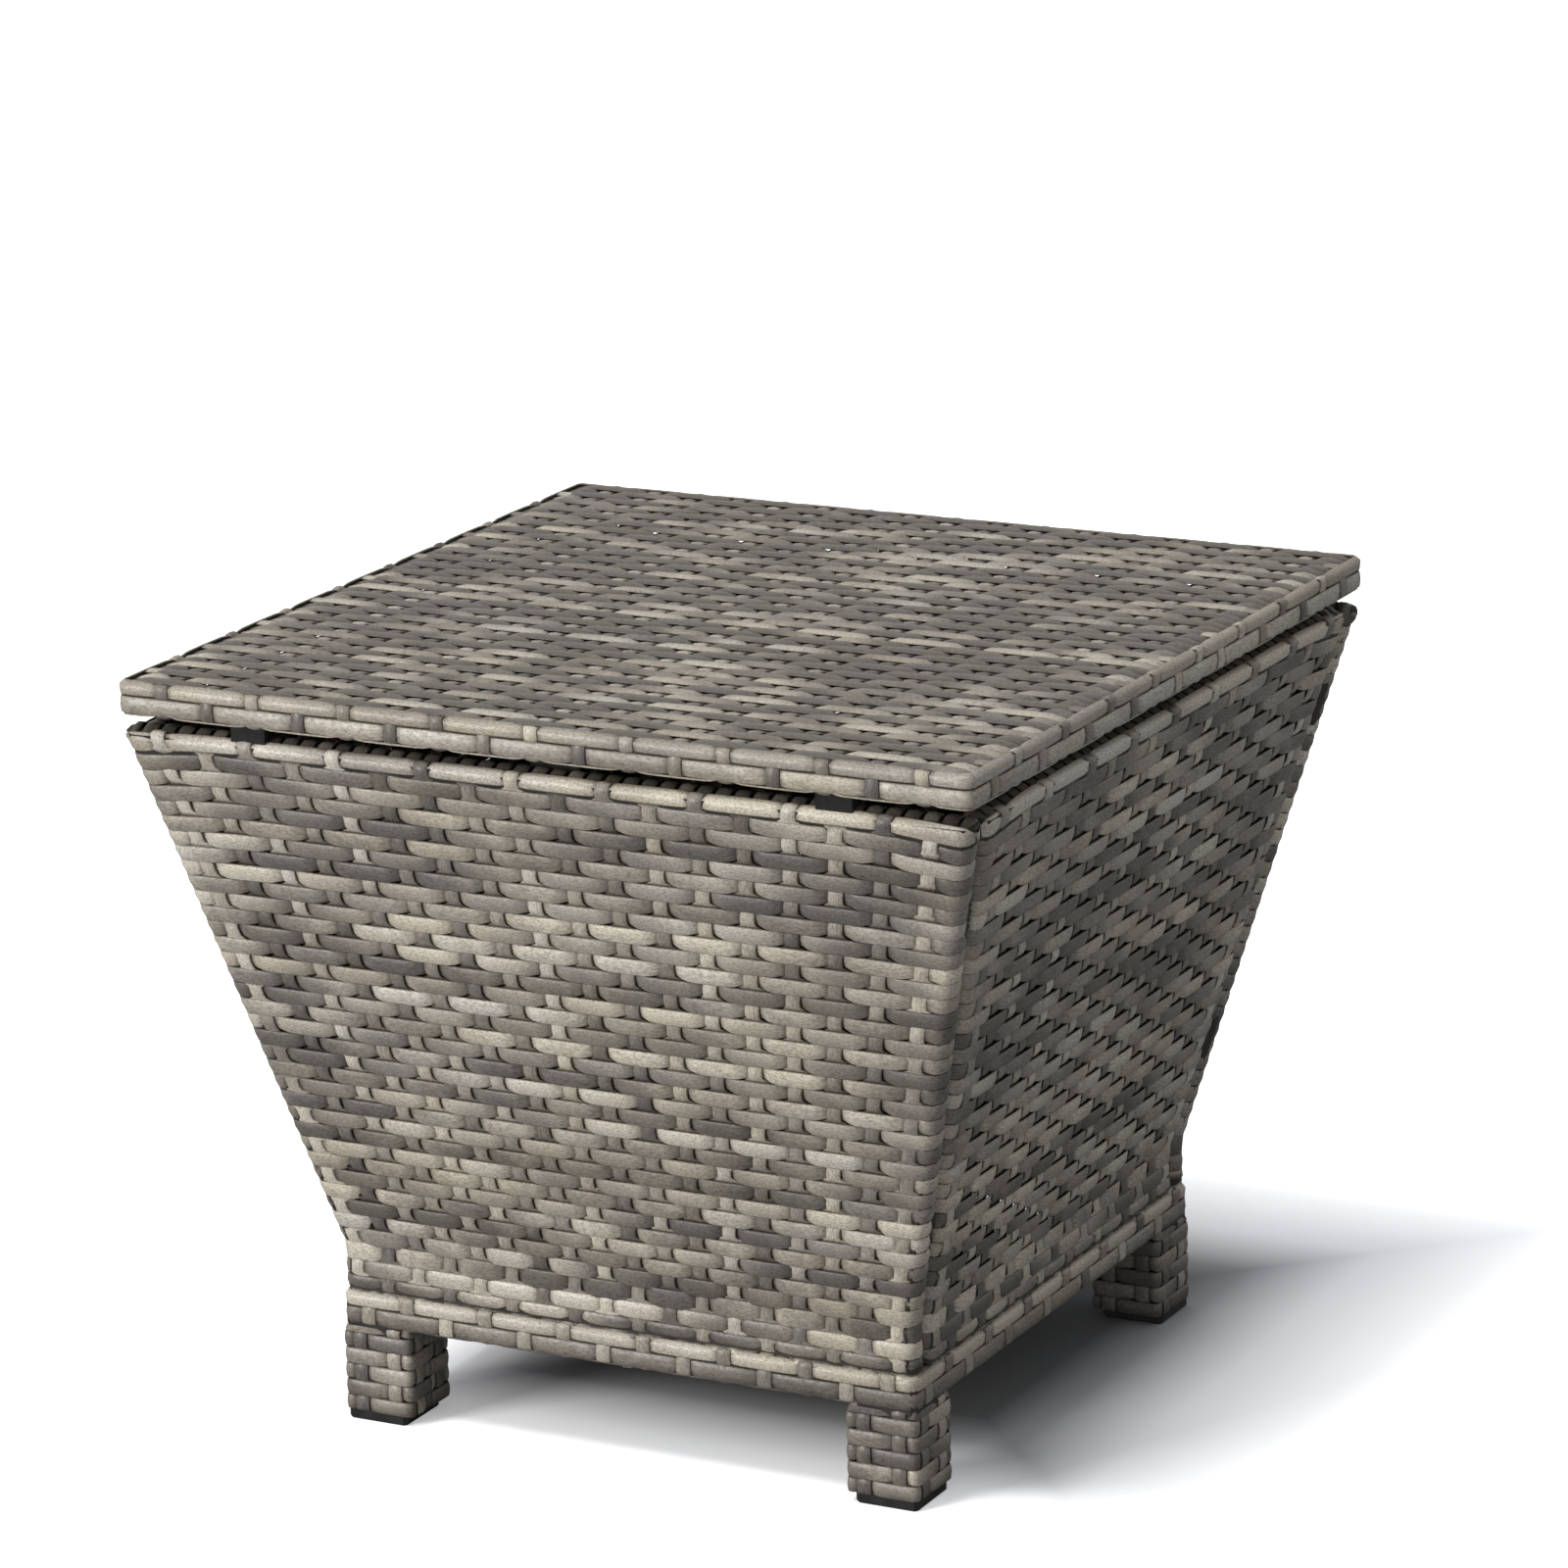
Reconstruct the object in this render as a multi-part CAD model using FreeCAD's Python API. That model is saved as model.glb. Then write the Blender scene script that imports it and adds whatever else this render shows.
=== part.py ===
import FreeCAD, Part

import math
import os

# A table that stands over a propane tank.
# Four woven panels lean outwards from a woven base on four short legs.
# A loose woven lid lies on rubber pads on the panels' top rails.
# Millimetres, +Z up, front towards -Y, origin on the floor under the middle of the lid.
# Round tubes, bolts and rolled corners are drawn with flats at 45 degrees.

Vector = FreeCAD.Vector

# Overall form
LID_SIDE = 584.0
OVERALL_HEIGHT = 500.0
LID_OVERHANG = 0.5
TOP_EDGE_BELOW_LID_TOP = 34.0
BASE_WIDTH = 408.0
BASE_TOP_Z = 86.0
PANEL_TO_BASE_GAP = 0.8
PANEL_FOOT_SETBACK = 1.0
BEND_ABOVE_BASE = 30.0

# Woven strand
WRAP = 1.6
SHEET = 3.0
GROOVE = 0.9
GROOVE_FLANK = 1.7
UPRIGHT_ROWS = 2.5
LEANING_ROWS = 33.5
PANEL_TOP_ROLL = 2.5
FACE_DEPTH = 7.5

# Panel tubes
TUBE = 16.0
TUBE_WALL = 1.2
PANEL_SEAM_GAP = 0.9

# Base rails and legs
BASE_WRAP = 1.75
BASE_TUBE = 17.5
BASE_ROLL = 2.5
LEG_SIDE = 46.0
LEG_TUBE_WALL = 1.5
LEG_CORNER = 4.0
LEG_TUBE_CORNER = 3.0
LEG_ROWS = 6
FOOT_HEIGHT = 7.0
FOOT_INSET = 1.5
FOOT_CHAMFER = 1.2
FOOT_PLUG_DEPTH = 16.0
FOOT_PLUG_WALL = 2.0
FOOT_PLUG_CLEARANCE = 0.3

# Lid
LID_TUBE = 16.0
LID_TUBE_WALL = 1.2
LID_EDGE_WRAP = 2.0
LID_EDGE_BAND = 11.0
LID_EDGE_ROLL = 4.0
LID_UNDER_ROLL = 1.0
LID_CORNER = 6.0
LID_FRAME_CORNER = 5.0
LID_ROWS = 52
LID_BRACE_SPACING = 190.0

# Corner ears, bolts and nuts
CORNER_BOLT_SHARES = (0.19, 0.81)
NOTCH_LENGTH = 28.0
NOTCH_WIDTH = 8.0
NOTCH_PAST_TUBES = 2.0
EAR_LENGTH = 22.0
EAR_LIP = 3.0
EAR_REACH = 25.0
EAR_BOLT_REACH = 17.0
BOLT_SIZE = 6.0
BOLT_CLEARANCE = 0.4
HEX_FLATS = 10.0
BOLT_HEAD_HEIGHT = 4.0
BOLT_HEAD_ROOM = 4.0
BOLT_PAST_NUT = 2.0
NUT_HEIGHT = 5.0

# Lid pads and locating tabs
PAD_LENGTH = 24.0
PAD_WIDTH = 11.0
PAD_SPREAD = 400.0
PAD_REST_GAP = 0.3
TAB_THICKNESS = 2.5
TAB_WIDTH = 34.0
TAB_REACH = 28.0
TAB_CLEARANCE = 3.0

# Worked out from the sizes above
BODY_TOP_WIDTH = LID_SIDE - 2 * LID_OVERHANG
BODY_TOP_EDGE_Z = OVERALL_HEIGHT - TOP_EDGE_BELOW_LID_TOP
BEND_WIDTH = BASE_WIDTH - 2 * PANEL_FOOT_SETBACK
BEND_Z = BASE_TOP_Z + BEND_ABOVE_BASE
LEAN = math.atan((BODY_TOP_WIDTH - BEND_WIDTH) / 2 / (BODY_TOP_EDGE_Z - BEND_Z))
SLANT_LENGTH = (BODY_TOP_EDGE_Z - BEND_Z) / math.cos(LEAN)
HALF_BEND = math.tan(LEAN / 2)
EDGE_SLOPE = math.sin(LEAN)
EDGE_COSINE = math.cos(math.atan(EDGE_SLOPE))
PANEL_THICKNESS = TUBE + 2 * WRAP
TUBE_RADIUS = TUBE / 2
TUBE_DEPTH = WRAP + TUBE_RADIUS
PANEL_BOTTOM_Z = BASE_TOP_Z + PANEL_TO_BASE_GAP
UPRIGHT_LENGTH = BEND_Z - PANEL_BOTTOM_Z
PANEL_LENGTH = UPRIGHT_LENGTH + SLANT_LENGTH
SIDE_PANEL_SETBACK = PANEL_THICKNESS / math.cos(LEAN) + PANEL_SEAM_GAP
TOP_RAIL_TOP_T = PANEL_LENGTH - WRAP
TOP_RAIL_LOW_T = TOP_RAIL_TOP_T - TUBE
BOTTOM_RAIL_LOW_T = WRAP
BOTTOM_RAIL_TOP_T = WRAP + TUBE
BASE_RAIL_HEIGHT = BASE_TUBE + 2 * BASE_WRAP
BASE_BOTTOM_Z = BASE_TOP_Z - BASE_RAIL_HEIGHT
LEG_TUBE = LEG_SIDE - 2 * BASE_WRAP
LEG_TUBE_TOP_Z = BASE_TOP_Z - BASE_WRAP
LEG_CENTRE = BASE_WIDTH / 2 - LEG_SIDE / 2
LID_THICKNESS = SHEET + LID_TUBE + WRAP
LID_BOTTOM_Z = OVERALL_HEIGHT - LID_THICKNESS
LID_TUBE_BOTTOM_Z = LID_BOTTOM_Z + WRAP
LID_TUBE_TOP_Z = OVERALL_HEIGHT - SHEET
LID_FRAME_OUTER = LID_SIDE / 2 - LID_EDGE_WRAP
LID_FRAME_INNER = LID_FRAME_OUTER - LID_TUBE
ROOT_TWO = math.sqrt(2)
EIGHTH = math.tan(math.pi / 8)
PAST = 5.0


def box(low, high):
    size = Vector(*high) - Vector(*low)
    return Part.makeBox(size.x, size.y, size.z, Vector(*low))


def outline(points):
    return Part.makePolygon(points + points[:1])


def prism(points, run):
    return Part.Face(outline(points)).extrude(run)


def skinned(sections):
    """A solid through outlines that all have the same number of points, with flat faces merged."""
    faces = [Part.Face(outline(sections[0])), Part.Face(outline(sections[-1]))]
    for low, high in zip(sections, sections[1:]):
        for a, b, c, d in zip(low, low[1:] + low[:1], high[1:] + high[:1], high):
            faces.append(Part.Face(outline([a, b, c, d])))
    shell = Part.makeShell(faces)
    shell.sewShape()
    solid = Part.Solid(shell)
    if solid.Volume < 0:
        solid.reverse()
    return solid.removeSplitter()


def many_sided_bar(sides, start, end, flats, side):
    """A bar with one corner towards side."""
    other = (end - start).normalize().cross(side)
    reach = flats / 2 / math.cos(math.pi / sides)
    angles = [corner * 2 * math.pi / sides for corner in range(sides)]
    points = [start + side * reach * math.cos(a) + other * reach * math.sin(a) for a in angles]
    return prism(points, end - start)


def hex_bar(start, end, side):
    return many_sided_bar(6, start, end, HEX_FLATS, side)


def shank_bar(start, end, side):
    return many_sided_bar(8, start, end, BOLT_SIZE, side)


def turned(shape, degrees):
    copy = shape.copy()
    copy.rotate(Vector(0, 0, 0), Vector(0, 0, 1), degrees)
    return copy


def mirrored_left(shape):
    return shape.mirror(Vector(0, 0, 0), Vector(1, 0, 0))


def cut_all(shape, tools):
    for tool in tools:
        shape = shape.cut(tool)
    return shape


def all_sides(shapes):
    return [turned(s, quarter * 90) for quarter in range(4) for s in shapes]


def all_corners(shapes):
    """Copies of the front right corner's pieces at all four corners."""
    front = shapes + [mirrored_left(s) for s in shapes]
    return front + [turned(s, 180) for s in front]


def square_points(half, corner, inset, z):
    """A square with its corners cut at 45 degrees, every side moved inwards by the inset."""
    side = half - inset
    flat = side - corner + inset * (2 - ROOT_TWO)
    quarter = [(flat, -side), (side, -flat)]
    spots = []
    for turn in range(4):
        spots += quarter
        quarter = [(-y, x) for x, y in quarter]
    return [Vector(x, y, z) for x, y in spots]


def square_prism(half, corner, low, high):
    return prism(square_points(half, corner, 0, low), Vector(0, 0, high - low))


def relief(length, grooves, top_roll):
    """Distance and inset pairs for flat-crowned strand rows with a groove at each given distance."""
    pairs = []
    for place in grooves:
        if place > 0:
            pairs.append((place - GROOVE_FLANK, 0.0))
        pairs.append((place, GROOVE))
        pairs.append((place + GROOVE_FLANK, 0.0))
    return pairs + [(length - top_roll, 0.0), (length, top_roll)]


def save(name, solids):
    shape = solids[0] if len(solids) == 1 else Part.makeCompound(solids)
    shape.exportStep("parts/" + name + ".step")


# Panels are drawn as the front one.
# u runs to the right, t up the face from the panel's foot, n outwards from the face.
# The face stands upright at first and leans outwards above the bend.

def face_point(u, t, n):
    leaning = t - UPRIGHT_LENGTH
    if leaning > 0:
        y = -BEND_WIDTH / 2 - leaning * math.sin(LEAN) - n * math.cos(LEAN)
        return Vector(u, y, BEND_Z + leaning * math.cos(LEAN) - n * math.sin(LEAN))
    mitre = n * HALF_BEND if leaning == 0 else 0
    return Vector(u, -BEND_WIDTH / 2 - n, PANEL_BOTTOM_Z + t - mitre)


def edge(t, n, setback):
    """The panel's right-hand edge at t, which fans out above the bend."""
    upright = BEND_WIDTH / 2 - setback
    if t <= UPRIGHT_LENGTH:
        return upright
    return upright + (t - UPRIGHT_LENGTH - n * HALF_BEND) * EDGE_SLOPE


def panel_section(t, setback, front_inset, side_inset):
    """The panel's outline at t: flat in front and behind, its sides rounded in flats over the tubes."""
    corner = PANEL_THICKNESS / 2 * (2 - ROOT_TWO)
    front_cut = corner + front_inset * ROOT_TWO
    back_cut = corner + side_inset * ROOT_TWO
    spots = [(front_cut - front_inset, front_inset), (side_inset, front_cut - side_inset),
             (side_inset, PANEL_THICKNESS - back_cut + side_inset),
             (back_cut - side_inset, PANEL_THICKNESS - side_inset)]
    right = [face_point(edge(t, -depth, setback) - in_from_edge, t, -depth) for in_from_edge, depth in spots]
    return right + [Vector(-p.x, p.y, p.z) for p in reversed(right)]


def woven_block(setback):
    """The outside of a panel, its rows carried over the rounded edges beside the face."""
    upright = UPRIGHT_LENGTH / UPRIGHT_ROWS
    leaning = SLANT_LENGTH / LEANING_ROWS
    grooves = [row * upright for row in range(math.ceil(UPRIGHT_ROWS))]
    grooves += [UPRIGHT_LENGTH + (row + 0.5) * leaning for row in range(int(LEANING_ROWS))]
    pairs = relief(PANEL_LENGTH, grooves, PANEL_TOP_ROLL)
    stations = sorted(pairs + [(UPRIGHT_LENGTH, 0.0)])
    return skinned([panel_section(t, setback, inset, 0) for t, inset in stations])


def rail_bar(low_t, high_t, setback):
    return skinned([panel_section(t, setback, WRAP, WRAP) for t in (low_t, high_t)])


def tube_centre(t, setback):
    """The side tube's centre, one wrap and one radius inside the panel's edge."""
    u = edge(t, -TUBE_DEPTH, setback) - TUBE_DEPTH / EDGE_COSINE
    return face_point(u, t, -TUBE_DEPTH)


def side_tube_bar(setback, radius):
    """The right-hand side tube as a bar with a mitred bend, from the bottom rail to the top rail."""
    ring = [(1, EIGHTH), (EIGHTH, 1), (-EIGHTH, 1), (-1, EIGHTH)]
    ring += [(-x, -y) for x, y in ring]
    spots = [(TUBE_DEPTH + radius * x, TUBE_DEPTH + radius * y) for x, y in ring]
    sections = []
    for t in (BOTTOM_RAIL_TOP_T, UPRIGHT_LENGTH, TOP_RAIL_LOW_T):
        sections.append([face_point(edge(t, -depth, setback) - in_from_edge / EDGE_COSINE, t, -depth)
                         for in_from_edge, depth in spots])
    return skinned(sections)


def rail_bore(low_t, high_t, setback):
    """The inside of a top or bottom rail, closed at both ends."""
    reach = edge(low_t, 0, setback) - 2 * TUBE_DEPTH
    near = WRAP + TUBE_WALL
    far = WRAP + TUBE - TUBE_WALL
    low = low_t + TUBE_WALL
    high = high_t - TUBE_WALL
    corners = [(low, -near), (high, -near), (high, -far), (low, -far)]
    return prism([face_point(-reach, t, n) for t, n in corners], Vector(2 * reach, 0, 0))


def pocket(setback):
    """The open back of the panel, between the strand wound on its four tubes."""
    sections = []
    for t in (PANEL_THICKNESS, UPRIGHT_LENGTH, PANEL_LENGTH - PANEL_THICKNESS):
        corners = [(side, n) for side, n in ((-1, -SHEET), (1, -SHEET),
                                             (1, -PANEL_THICKNESS - PAST), (-1, -PANEL_THICKNESS - PAST))]
        reach = [edge(t, n, setback) - PANEL_THICKNESS / EDGE_COSINE for side, n in corners]
        sections.append([face_point(side * u, t, n) for (side, n), u in zip(corners, reach)])
    return skinned(sections)


def panel_layer(stations, near, far):
    """Everything of a panel between the given distances up the face and depths behind it."""
    reach = BODY_TOP_WIDTH
    spots = [(-reach, near), (reach, near), (reach, far), (-reach, far)]
    return skinned([[face_point(u, t, -depth) for u, depth in spots] for t in stations])


def panel_solids(weave):
    """The woven face, then the strand wound behind it on the bottom, top, right and left tubes."""
    whole = (-PAST, UPRIGHT_LENGTH, PANEL_LENGTH + PAST)
    behind = weave.cut(panel_layer(whole, -PAST, FACE_DEPTH))
    face = weave.cut(panel_layer(whole, FACE_DEPTH, PANEL_THICKNESS + PAST))
    bottom = panel_layer((-PAST, PANEL_THICKNESS), -PAST, PANEL_THICKNESS + PAST)
    top = panel_layer((PANEL_LENGTH - PANEL_THICKNESS, PANEL_LENGTH + PAST), -PAST, PANEL_THICKNESS + PAST)
    sides = cut_all(behind, [bottom, top])
    return [face, behind.common(bottom), behind.common(top)] + sides.Solids


# Corner joints are worked out for the front right corner.
# A steel ear on the front panel's tube and one on the right panel's tube lie face to face in the seam.
# The weave is notched round them, and a bolt joins them inside the body.

class Seam:
    """Directions and middle of the seam at one corner joint."""

    def __init__(self, share):
        t = UPRIGHT_LENGTH + share * SLANT_LENGTH
        front = tube_centre(t, 0)
        self.along = (tube_centre(t + 1, 0) - front).normalize()
        right = tube_centre(t, SIDE_PANEL_SETBACK)
        right = Vector(-right.y, -right.x, right.z)
        right += self.along * (front - right).dot(self.along)
        self.across = (right - front).normalize()
        self.outward = self.across.cross(self.along)
        self.middle = (front + right) / 2
        self.ear_thickness = (right - front).Length / 2 - TUBE_RADIUS

    def point(self, across, outward, along):
        return self.middle + self.across * across + self.outward * outward + self.along * along

    def block(self, across, outward, along):
        corners = [(across[0], outward[0]), (across[1], outward[0]),
                   (across[1], outward[1]), (across[0], outward[1])]
        return prism([self.point(a, o, along[0]) for a, o in corners], self.along * (along[1] - along[0]))

    def notch(self):
        half = NOTCH_WIDTH / 2
        return self.block((-half, half), (-TUBE_DEPTH - NOTCH_PAST_TUBES, TUBE_DEPTH + PAST),
                          (-NOTCH_LENGTH / 2, NOTCH_LENGTH / 2))

    def nut_ear(self):
        """The front panel's ear, with a six-sided hole that holds the nut."""
        thick = self.ear_thickness
        plate = self.block((-thick, 0), (-EAR_REACH, EAR_LIP), (-EAR_LENGTH / 2, EAR_LENGTH / 2))
        return cut_all(plate, [self.bar_at(hex_bar, -thick, 0), side_tube_bar(0, TUBE_RADIUS)])

    def slot_ear(self):
        """The right panel's ear, with an open slot that drops over the bolt."""
        thick = self.ear_thickness
        plate = self.block((0, thick), (-EAR_REACH, EAR_LIP), (-EAR_LENGTH / 2, EAR_LENGTH / 2))
        room = BOLT_SIZE / 2 + BOLT_CLEARANCE
        slot = self.block((0, thick), (-EAR_BOLT_REACH - room, -EAR_BOLT_REACH + room), (-EAR_LENGTH, room))
        tube = turned(mirrored_left(side_tube_bar(SIDE_PANEL_SETBACK, TUBE_RADIUS)), 90)
        return cut_all(plate, [slot, tube])

    def bar_at(self, bar, start, end):
        return bar(self.point(start, -EAR_BOLT_REACH, 0), self.point(end, -EAR_BOLT_REACH, 0), self.along)

    def bolt(self):
        seat = self.ear_thickness
        tip = -self.ear_thickness - NUT_HEIGHT - BOLT_PAST_NUT
        return self.bar_at(shank_bar, tip, seat).fuse(self.bar_at(hex_bar, seat, seat + BOLT_HEAD_HEIGHT))

    def nut(self):
        end = -self.ear_thickness - NUT_HEIGHT
        return self.bar_at(hex_bar, end, 0).cut(self.bar_at(shank_bar, end, 0))


SEAMS = [Seam(share) for share in CORNER_BOLT_SHARES]

# A bolt at the middle of each side holds the panel's bottom rail down on the base rail.

BASE_BOLT_Y = -BEND_WIDTH / 2 + TUBE_DEPTH
BASE_BOLT_SEAT_Z = BASE_BOTTOM_Z + BASE_WRAP
BASE_NUT_Z = PANEL_BOTTOM_Z + WRAP


def base_spot(z):
    return Vector(0, BASE_BOLT_Y, z)


def base_way(half, low, high):
    return box((-half, BASE_BOLT_Y - half, low), (half, BASE_BOLT_Y + half, high))


def base_bar(bar, low, high):
    return bar(base_spot(low), base_spot(high), Vector(1, 0, 0))


def base_bolt():
    seat = BASE_BOLT_SEAT_Z
    tip = BASE_NUT_Z + NUT_HEIGHT + BOLT_PAST_NUT
    return base_bar(shank_bar, seat, tip).fuse(base_bar(hex_bar, seat - BOLT_HEAD_HEIGHT, seat))


def base_nut():
    top = BASE_NUT_Z + NUT_HEIGHT
    return base_bar(hex_bar, BASE_NUT_Z, top).cut(base_bar(shank_bar, BASE_NUT_Z, top))


# Panel pieces

def panel_weave(setback):
    side_bar = side_tube_bar(setback, TUBE_RADIUS)
    rails = [rail_bar(BOTTOM_RAIL_LOW_T, BOTTOM_RAIL_TOP_T, setback),
             rail_bar(TOP_RAIL_LOW_T, TOP_RAIL_TOP_T, setback)]
    notches = [seam.notch() for seam in SEAMS]
    if setback:
        notches = [turned(mirrored_left(notch), 90) for notch in notches]
    tools = rails + [pocket(setback), base_way(HEX_FLATS, BASE_TOP_Z, BASE_NUT_Z)]
    tools += [side_bar, mirrored_left(side_bar)]
    tools += notches + [mirrored_left(notch) for notch in notches]
    return panel_solids(cut_all(woven_block(setback), tools))


def panel_tubes(setback):
    """Top rail, bottom rail, left tube and right tube of one panel."""
    top = rail_bar(TOP_RAIL_LOW_T, TOP_RAIL_TOP_T, setback)
    top = top.cut(rail_bore(TOP_RAIL_LOW_T, TOP_RAIL_TOP_T, setback))
    bottom = rail_bar(BOTTOM_RAIL_LOW_T, BOTTOM_RAIL_TOP_T, setback)
    bottom = bottom.cut(rail_bore(BOTTOM_RAIL_LOW_T, BOTTOM_RAIL_TOP_T, setback))
    bottom = bottom.cut(base_bar(hex_bar, BASE_NUT_Z, BASE_NUT_Z + NUT_HEIGHT))
    right = side_tube_bar(setback, TUBE_RADIUS).cut(side_tube_bar(setback, TUBE_RADIUS - TUBE_WALL))
    return {"top_rail": top, "bottom_rail": bottom, "right_tube": right, "left_tube": mirrored_left(right)}


# Base pieces

def base_rail_bar():
    reach = LEG_CENTRE - LEG_TUBE / 2
    outer = BASE_WIDTH / 2 - BASE_WRAP
    return box((-reach, -outer, BASE_BOLT_SEAT_Z), (reach, BASE_TUBE - outer, LEG_TUBE_TOP_Z))


def base_rail():
    bounds = base_rail_bar().BoundBox
    wall = TUBE_WALL
    bore = box((bounds.XMin, bounds.YMin + wall, bounds.ZMin + wall),
               (bounds.XMax, bounds.YMax - wall, bounds.ZMax - wall))
    return cut_all(base_rail_bar(), [bore, base_way(BOLT_SIZE / 2 + BOLT_CLEARANCE, 0, BASE_TOP_Z)])


def base_rail_weave():
    """A woven sleeve on one base rail, two strand rows tall."""
    reach = LEG_CENTRE - LEG_SIDE / 2
    outer = -BASE_WIDTH / 2
    inner = outer + BASE_RAIL_HEIGHT
    low = BASE_BOTTOM_Z
    high = BASE_TOP_Z
    middle = (low + high) / 2
    spots = [
        (inner - BASE_ROLL, low), (outer + BASE_ROLL, low), (outer, low + BASE_ROLL),
        (outer, middle - GROOVE_FLANK), (outer + GROOVE, middle), (outer, middle + GROOVE_FLANK),
        (outer, high - BASE_ROLL), (outer + BASE_ROLL, high), (inner - BASE_ROLL, high),
        (inner, high - BASE_ROLL), (inner, low + BASE_ROLL),
    ]
    sleeve = prism([Vector(-reach, y, z) for y, z in spots], Vector(2 * reach, 0, 0))
    head_way = base_way(HEX_FLATS / 2 + BOLT_HEAD_ROOM, low - PAST, middle)
    return cut_all(sleeve, [base_rail_bar(), head_way, base_way(HEX_FLATS / 2, middle, high + PAST)])


def moved_to_leg(shape):
    """Front right leg's place for a shape drawn round the origin."""
    copy = shape.copy()
    copy.translate(Vector(LEG_CENTRE, -LEG_CENTRE, 0))
    return copy


def leg_tube():
    outer = square_prism(LEG_TUBE / 2, LEG_TUBE_CORNER, FOOT_HEIGHT, LEG_TUBE_TOP_Z)
    bore_half = LEG_TUBE / 2 - LEG_TUBE_WALL
    bore = square_prism(bore_half, LEG_TUBE_CORNER - LEG_TUBE_WALL, FOOT_HEIGHT, LEG_TUBE_TOP_Z)
    return moved_to_leg(outer.cut(bore))


def leg_weave():
    """A woven sleeve on one leg: rows below the base rail, then the rail's two rows carried round."""
    pitch = (BASE_BOTTOM_Z - FOOT_HEIGHT) / LEG_ROWS
    grooves = [row * pitch for row in range(LEG_ROWS + 1)]
    grooves.append(BASE_BOTTOM_Z - FOOT_HEIGHT + BASE_RAIL_HEIGHT / 2)
    pairs = relief(BASE_TOP_Z - FOOT_HEIGHT, grooves, BASE_ROLL)
    sections = [square_points(LEG_SIDE / 2, LEG_CORNER, inset, FOOT_HEIGHT + t) for t, inset in pairs]
    sleeve = moved_to_leg(skinned(sections))
    tube = moved_to_leg(square_prism(LEG_TUBE / 2, LEG_TUBE_CORNER, 0, LEG_TUBE_TOP_Z))
    return cut_all(sleeve, [tube, base_rail_bar(), turned(base_rail_bar(), 90)])


def foot_cap():
    half = LEG_SIDE / 2 - FOOT_INSET
    corner = LEG_CORNER - FOOT_INSET
    levels = [(0, FOOT_CHAMFER), (FOOT_CHAMFER, 0), (FOOT_HEIGHT, 0)]
    pad = skinned([square_points(half, corner, inset, z) for z, inset in levels])
    plug_half = LEG_TUBE / 2 - LEG_TUBE_WALL - FOOT_PLUG_CLEARANCE
    top = FOOT_HEIGHT + FOOT_PLUG_DEPTH
    plug = square_prism(plug_half, FOOT_PLUG_WALL, FOOT_HEIGHT, top)
    hollow = plug_half - FOOT_PLUG_WALL
    plug = plug.cut(box((-hollow, -hollow, FOOT_HEIGHT), (hollow, hollow, top)))
    return moved_to_leg(pad.fuse(plug))


# Lid pieces

def lid_frame_bar(inner, outer, low, high):
    """The front bar of the lid frame, mitred at both ends."""
    corners = [(-outer, -outer), (outer, -outer), (inner, -inner), (-inner, -inner)]
    return prism([Vector(x, y, low) for x, y in corners], Vector(0, 0, high - low))


def lid_frame_tube():
    low = LID_TUBE_BOTTOM_Z
    high = LID_TUBE_TOP_Z
    wall = LID_TUBE_WALL
    bar = lid_frame_bar(LID_FRAME_INNER, LID_FRAME_OUTER, low, high)
    bore = lid_frame_bar(LID_FRAME_INNER + wall, LID_FRAME_OUTER - wall, low + wall, high - wall)
    reach = LID_FRAME_INNER
    bore = bore.common(box((-reach, -LID_SIDE, 0), (reach, 0, OVERALL_HEIGHT)))
    return bar.common(square_prism(LID_FRAME_OUTER, LID_FRAME_CORNER, low, high)).cut(bore)


def lid_cross_tube(x):
    half = LID_TUBE / 2
    wall = LID_TUBE_WALL
    reach = LID_FRAME_INNER
    bar = box((x - half, -reach, LID_TUBE_BOTTOM_Z), (x + half, reach, LID_TUBE_TOP_Z))
    bore = box((x - half + wall, -reach, LID_TUBE_BOTTOM_Z + wall), (x + half - wall, reach, LID_TUBE_TOP_Z - wall))
    return bar.cut(bore)


def lid_top_sheet():
    """The lid's woven top, its rows running side to side."""
    reach = LID_SIDE / 2 - LID_EDGE_BAND
    pitch = 2 * reach / LID_ROWS
    pairs = relief(2 * reach, [row * pitch for row in range(LID_ROWS)], GROOVE)
    ridge = [Vector(-reach, t - reach, OVERALL_HEIGHT - inset) for t, inset in pairs]
    under = [Vector(-reach, reach, LID_TUBE_TOP_Z), Vector(-reach, -reach, LID_TUBE_TOP_Z)]
    return prism(ridge + under, Vector(2 * reach, 0, 0))


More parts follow.
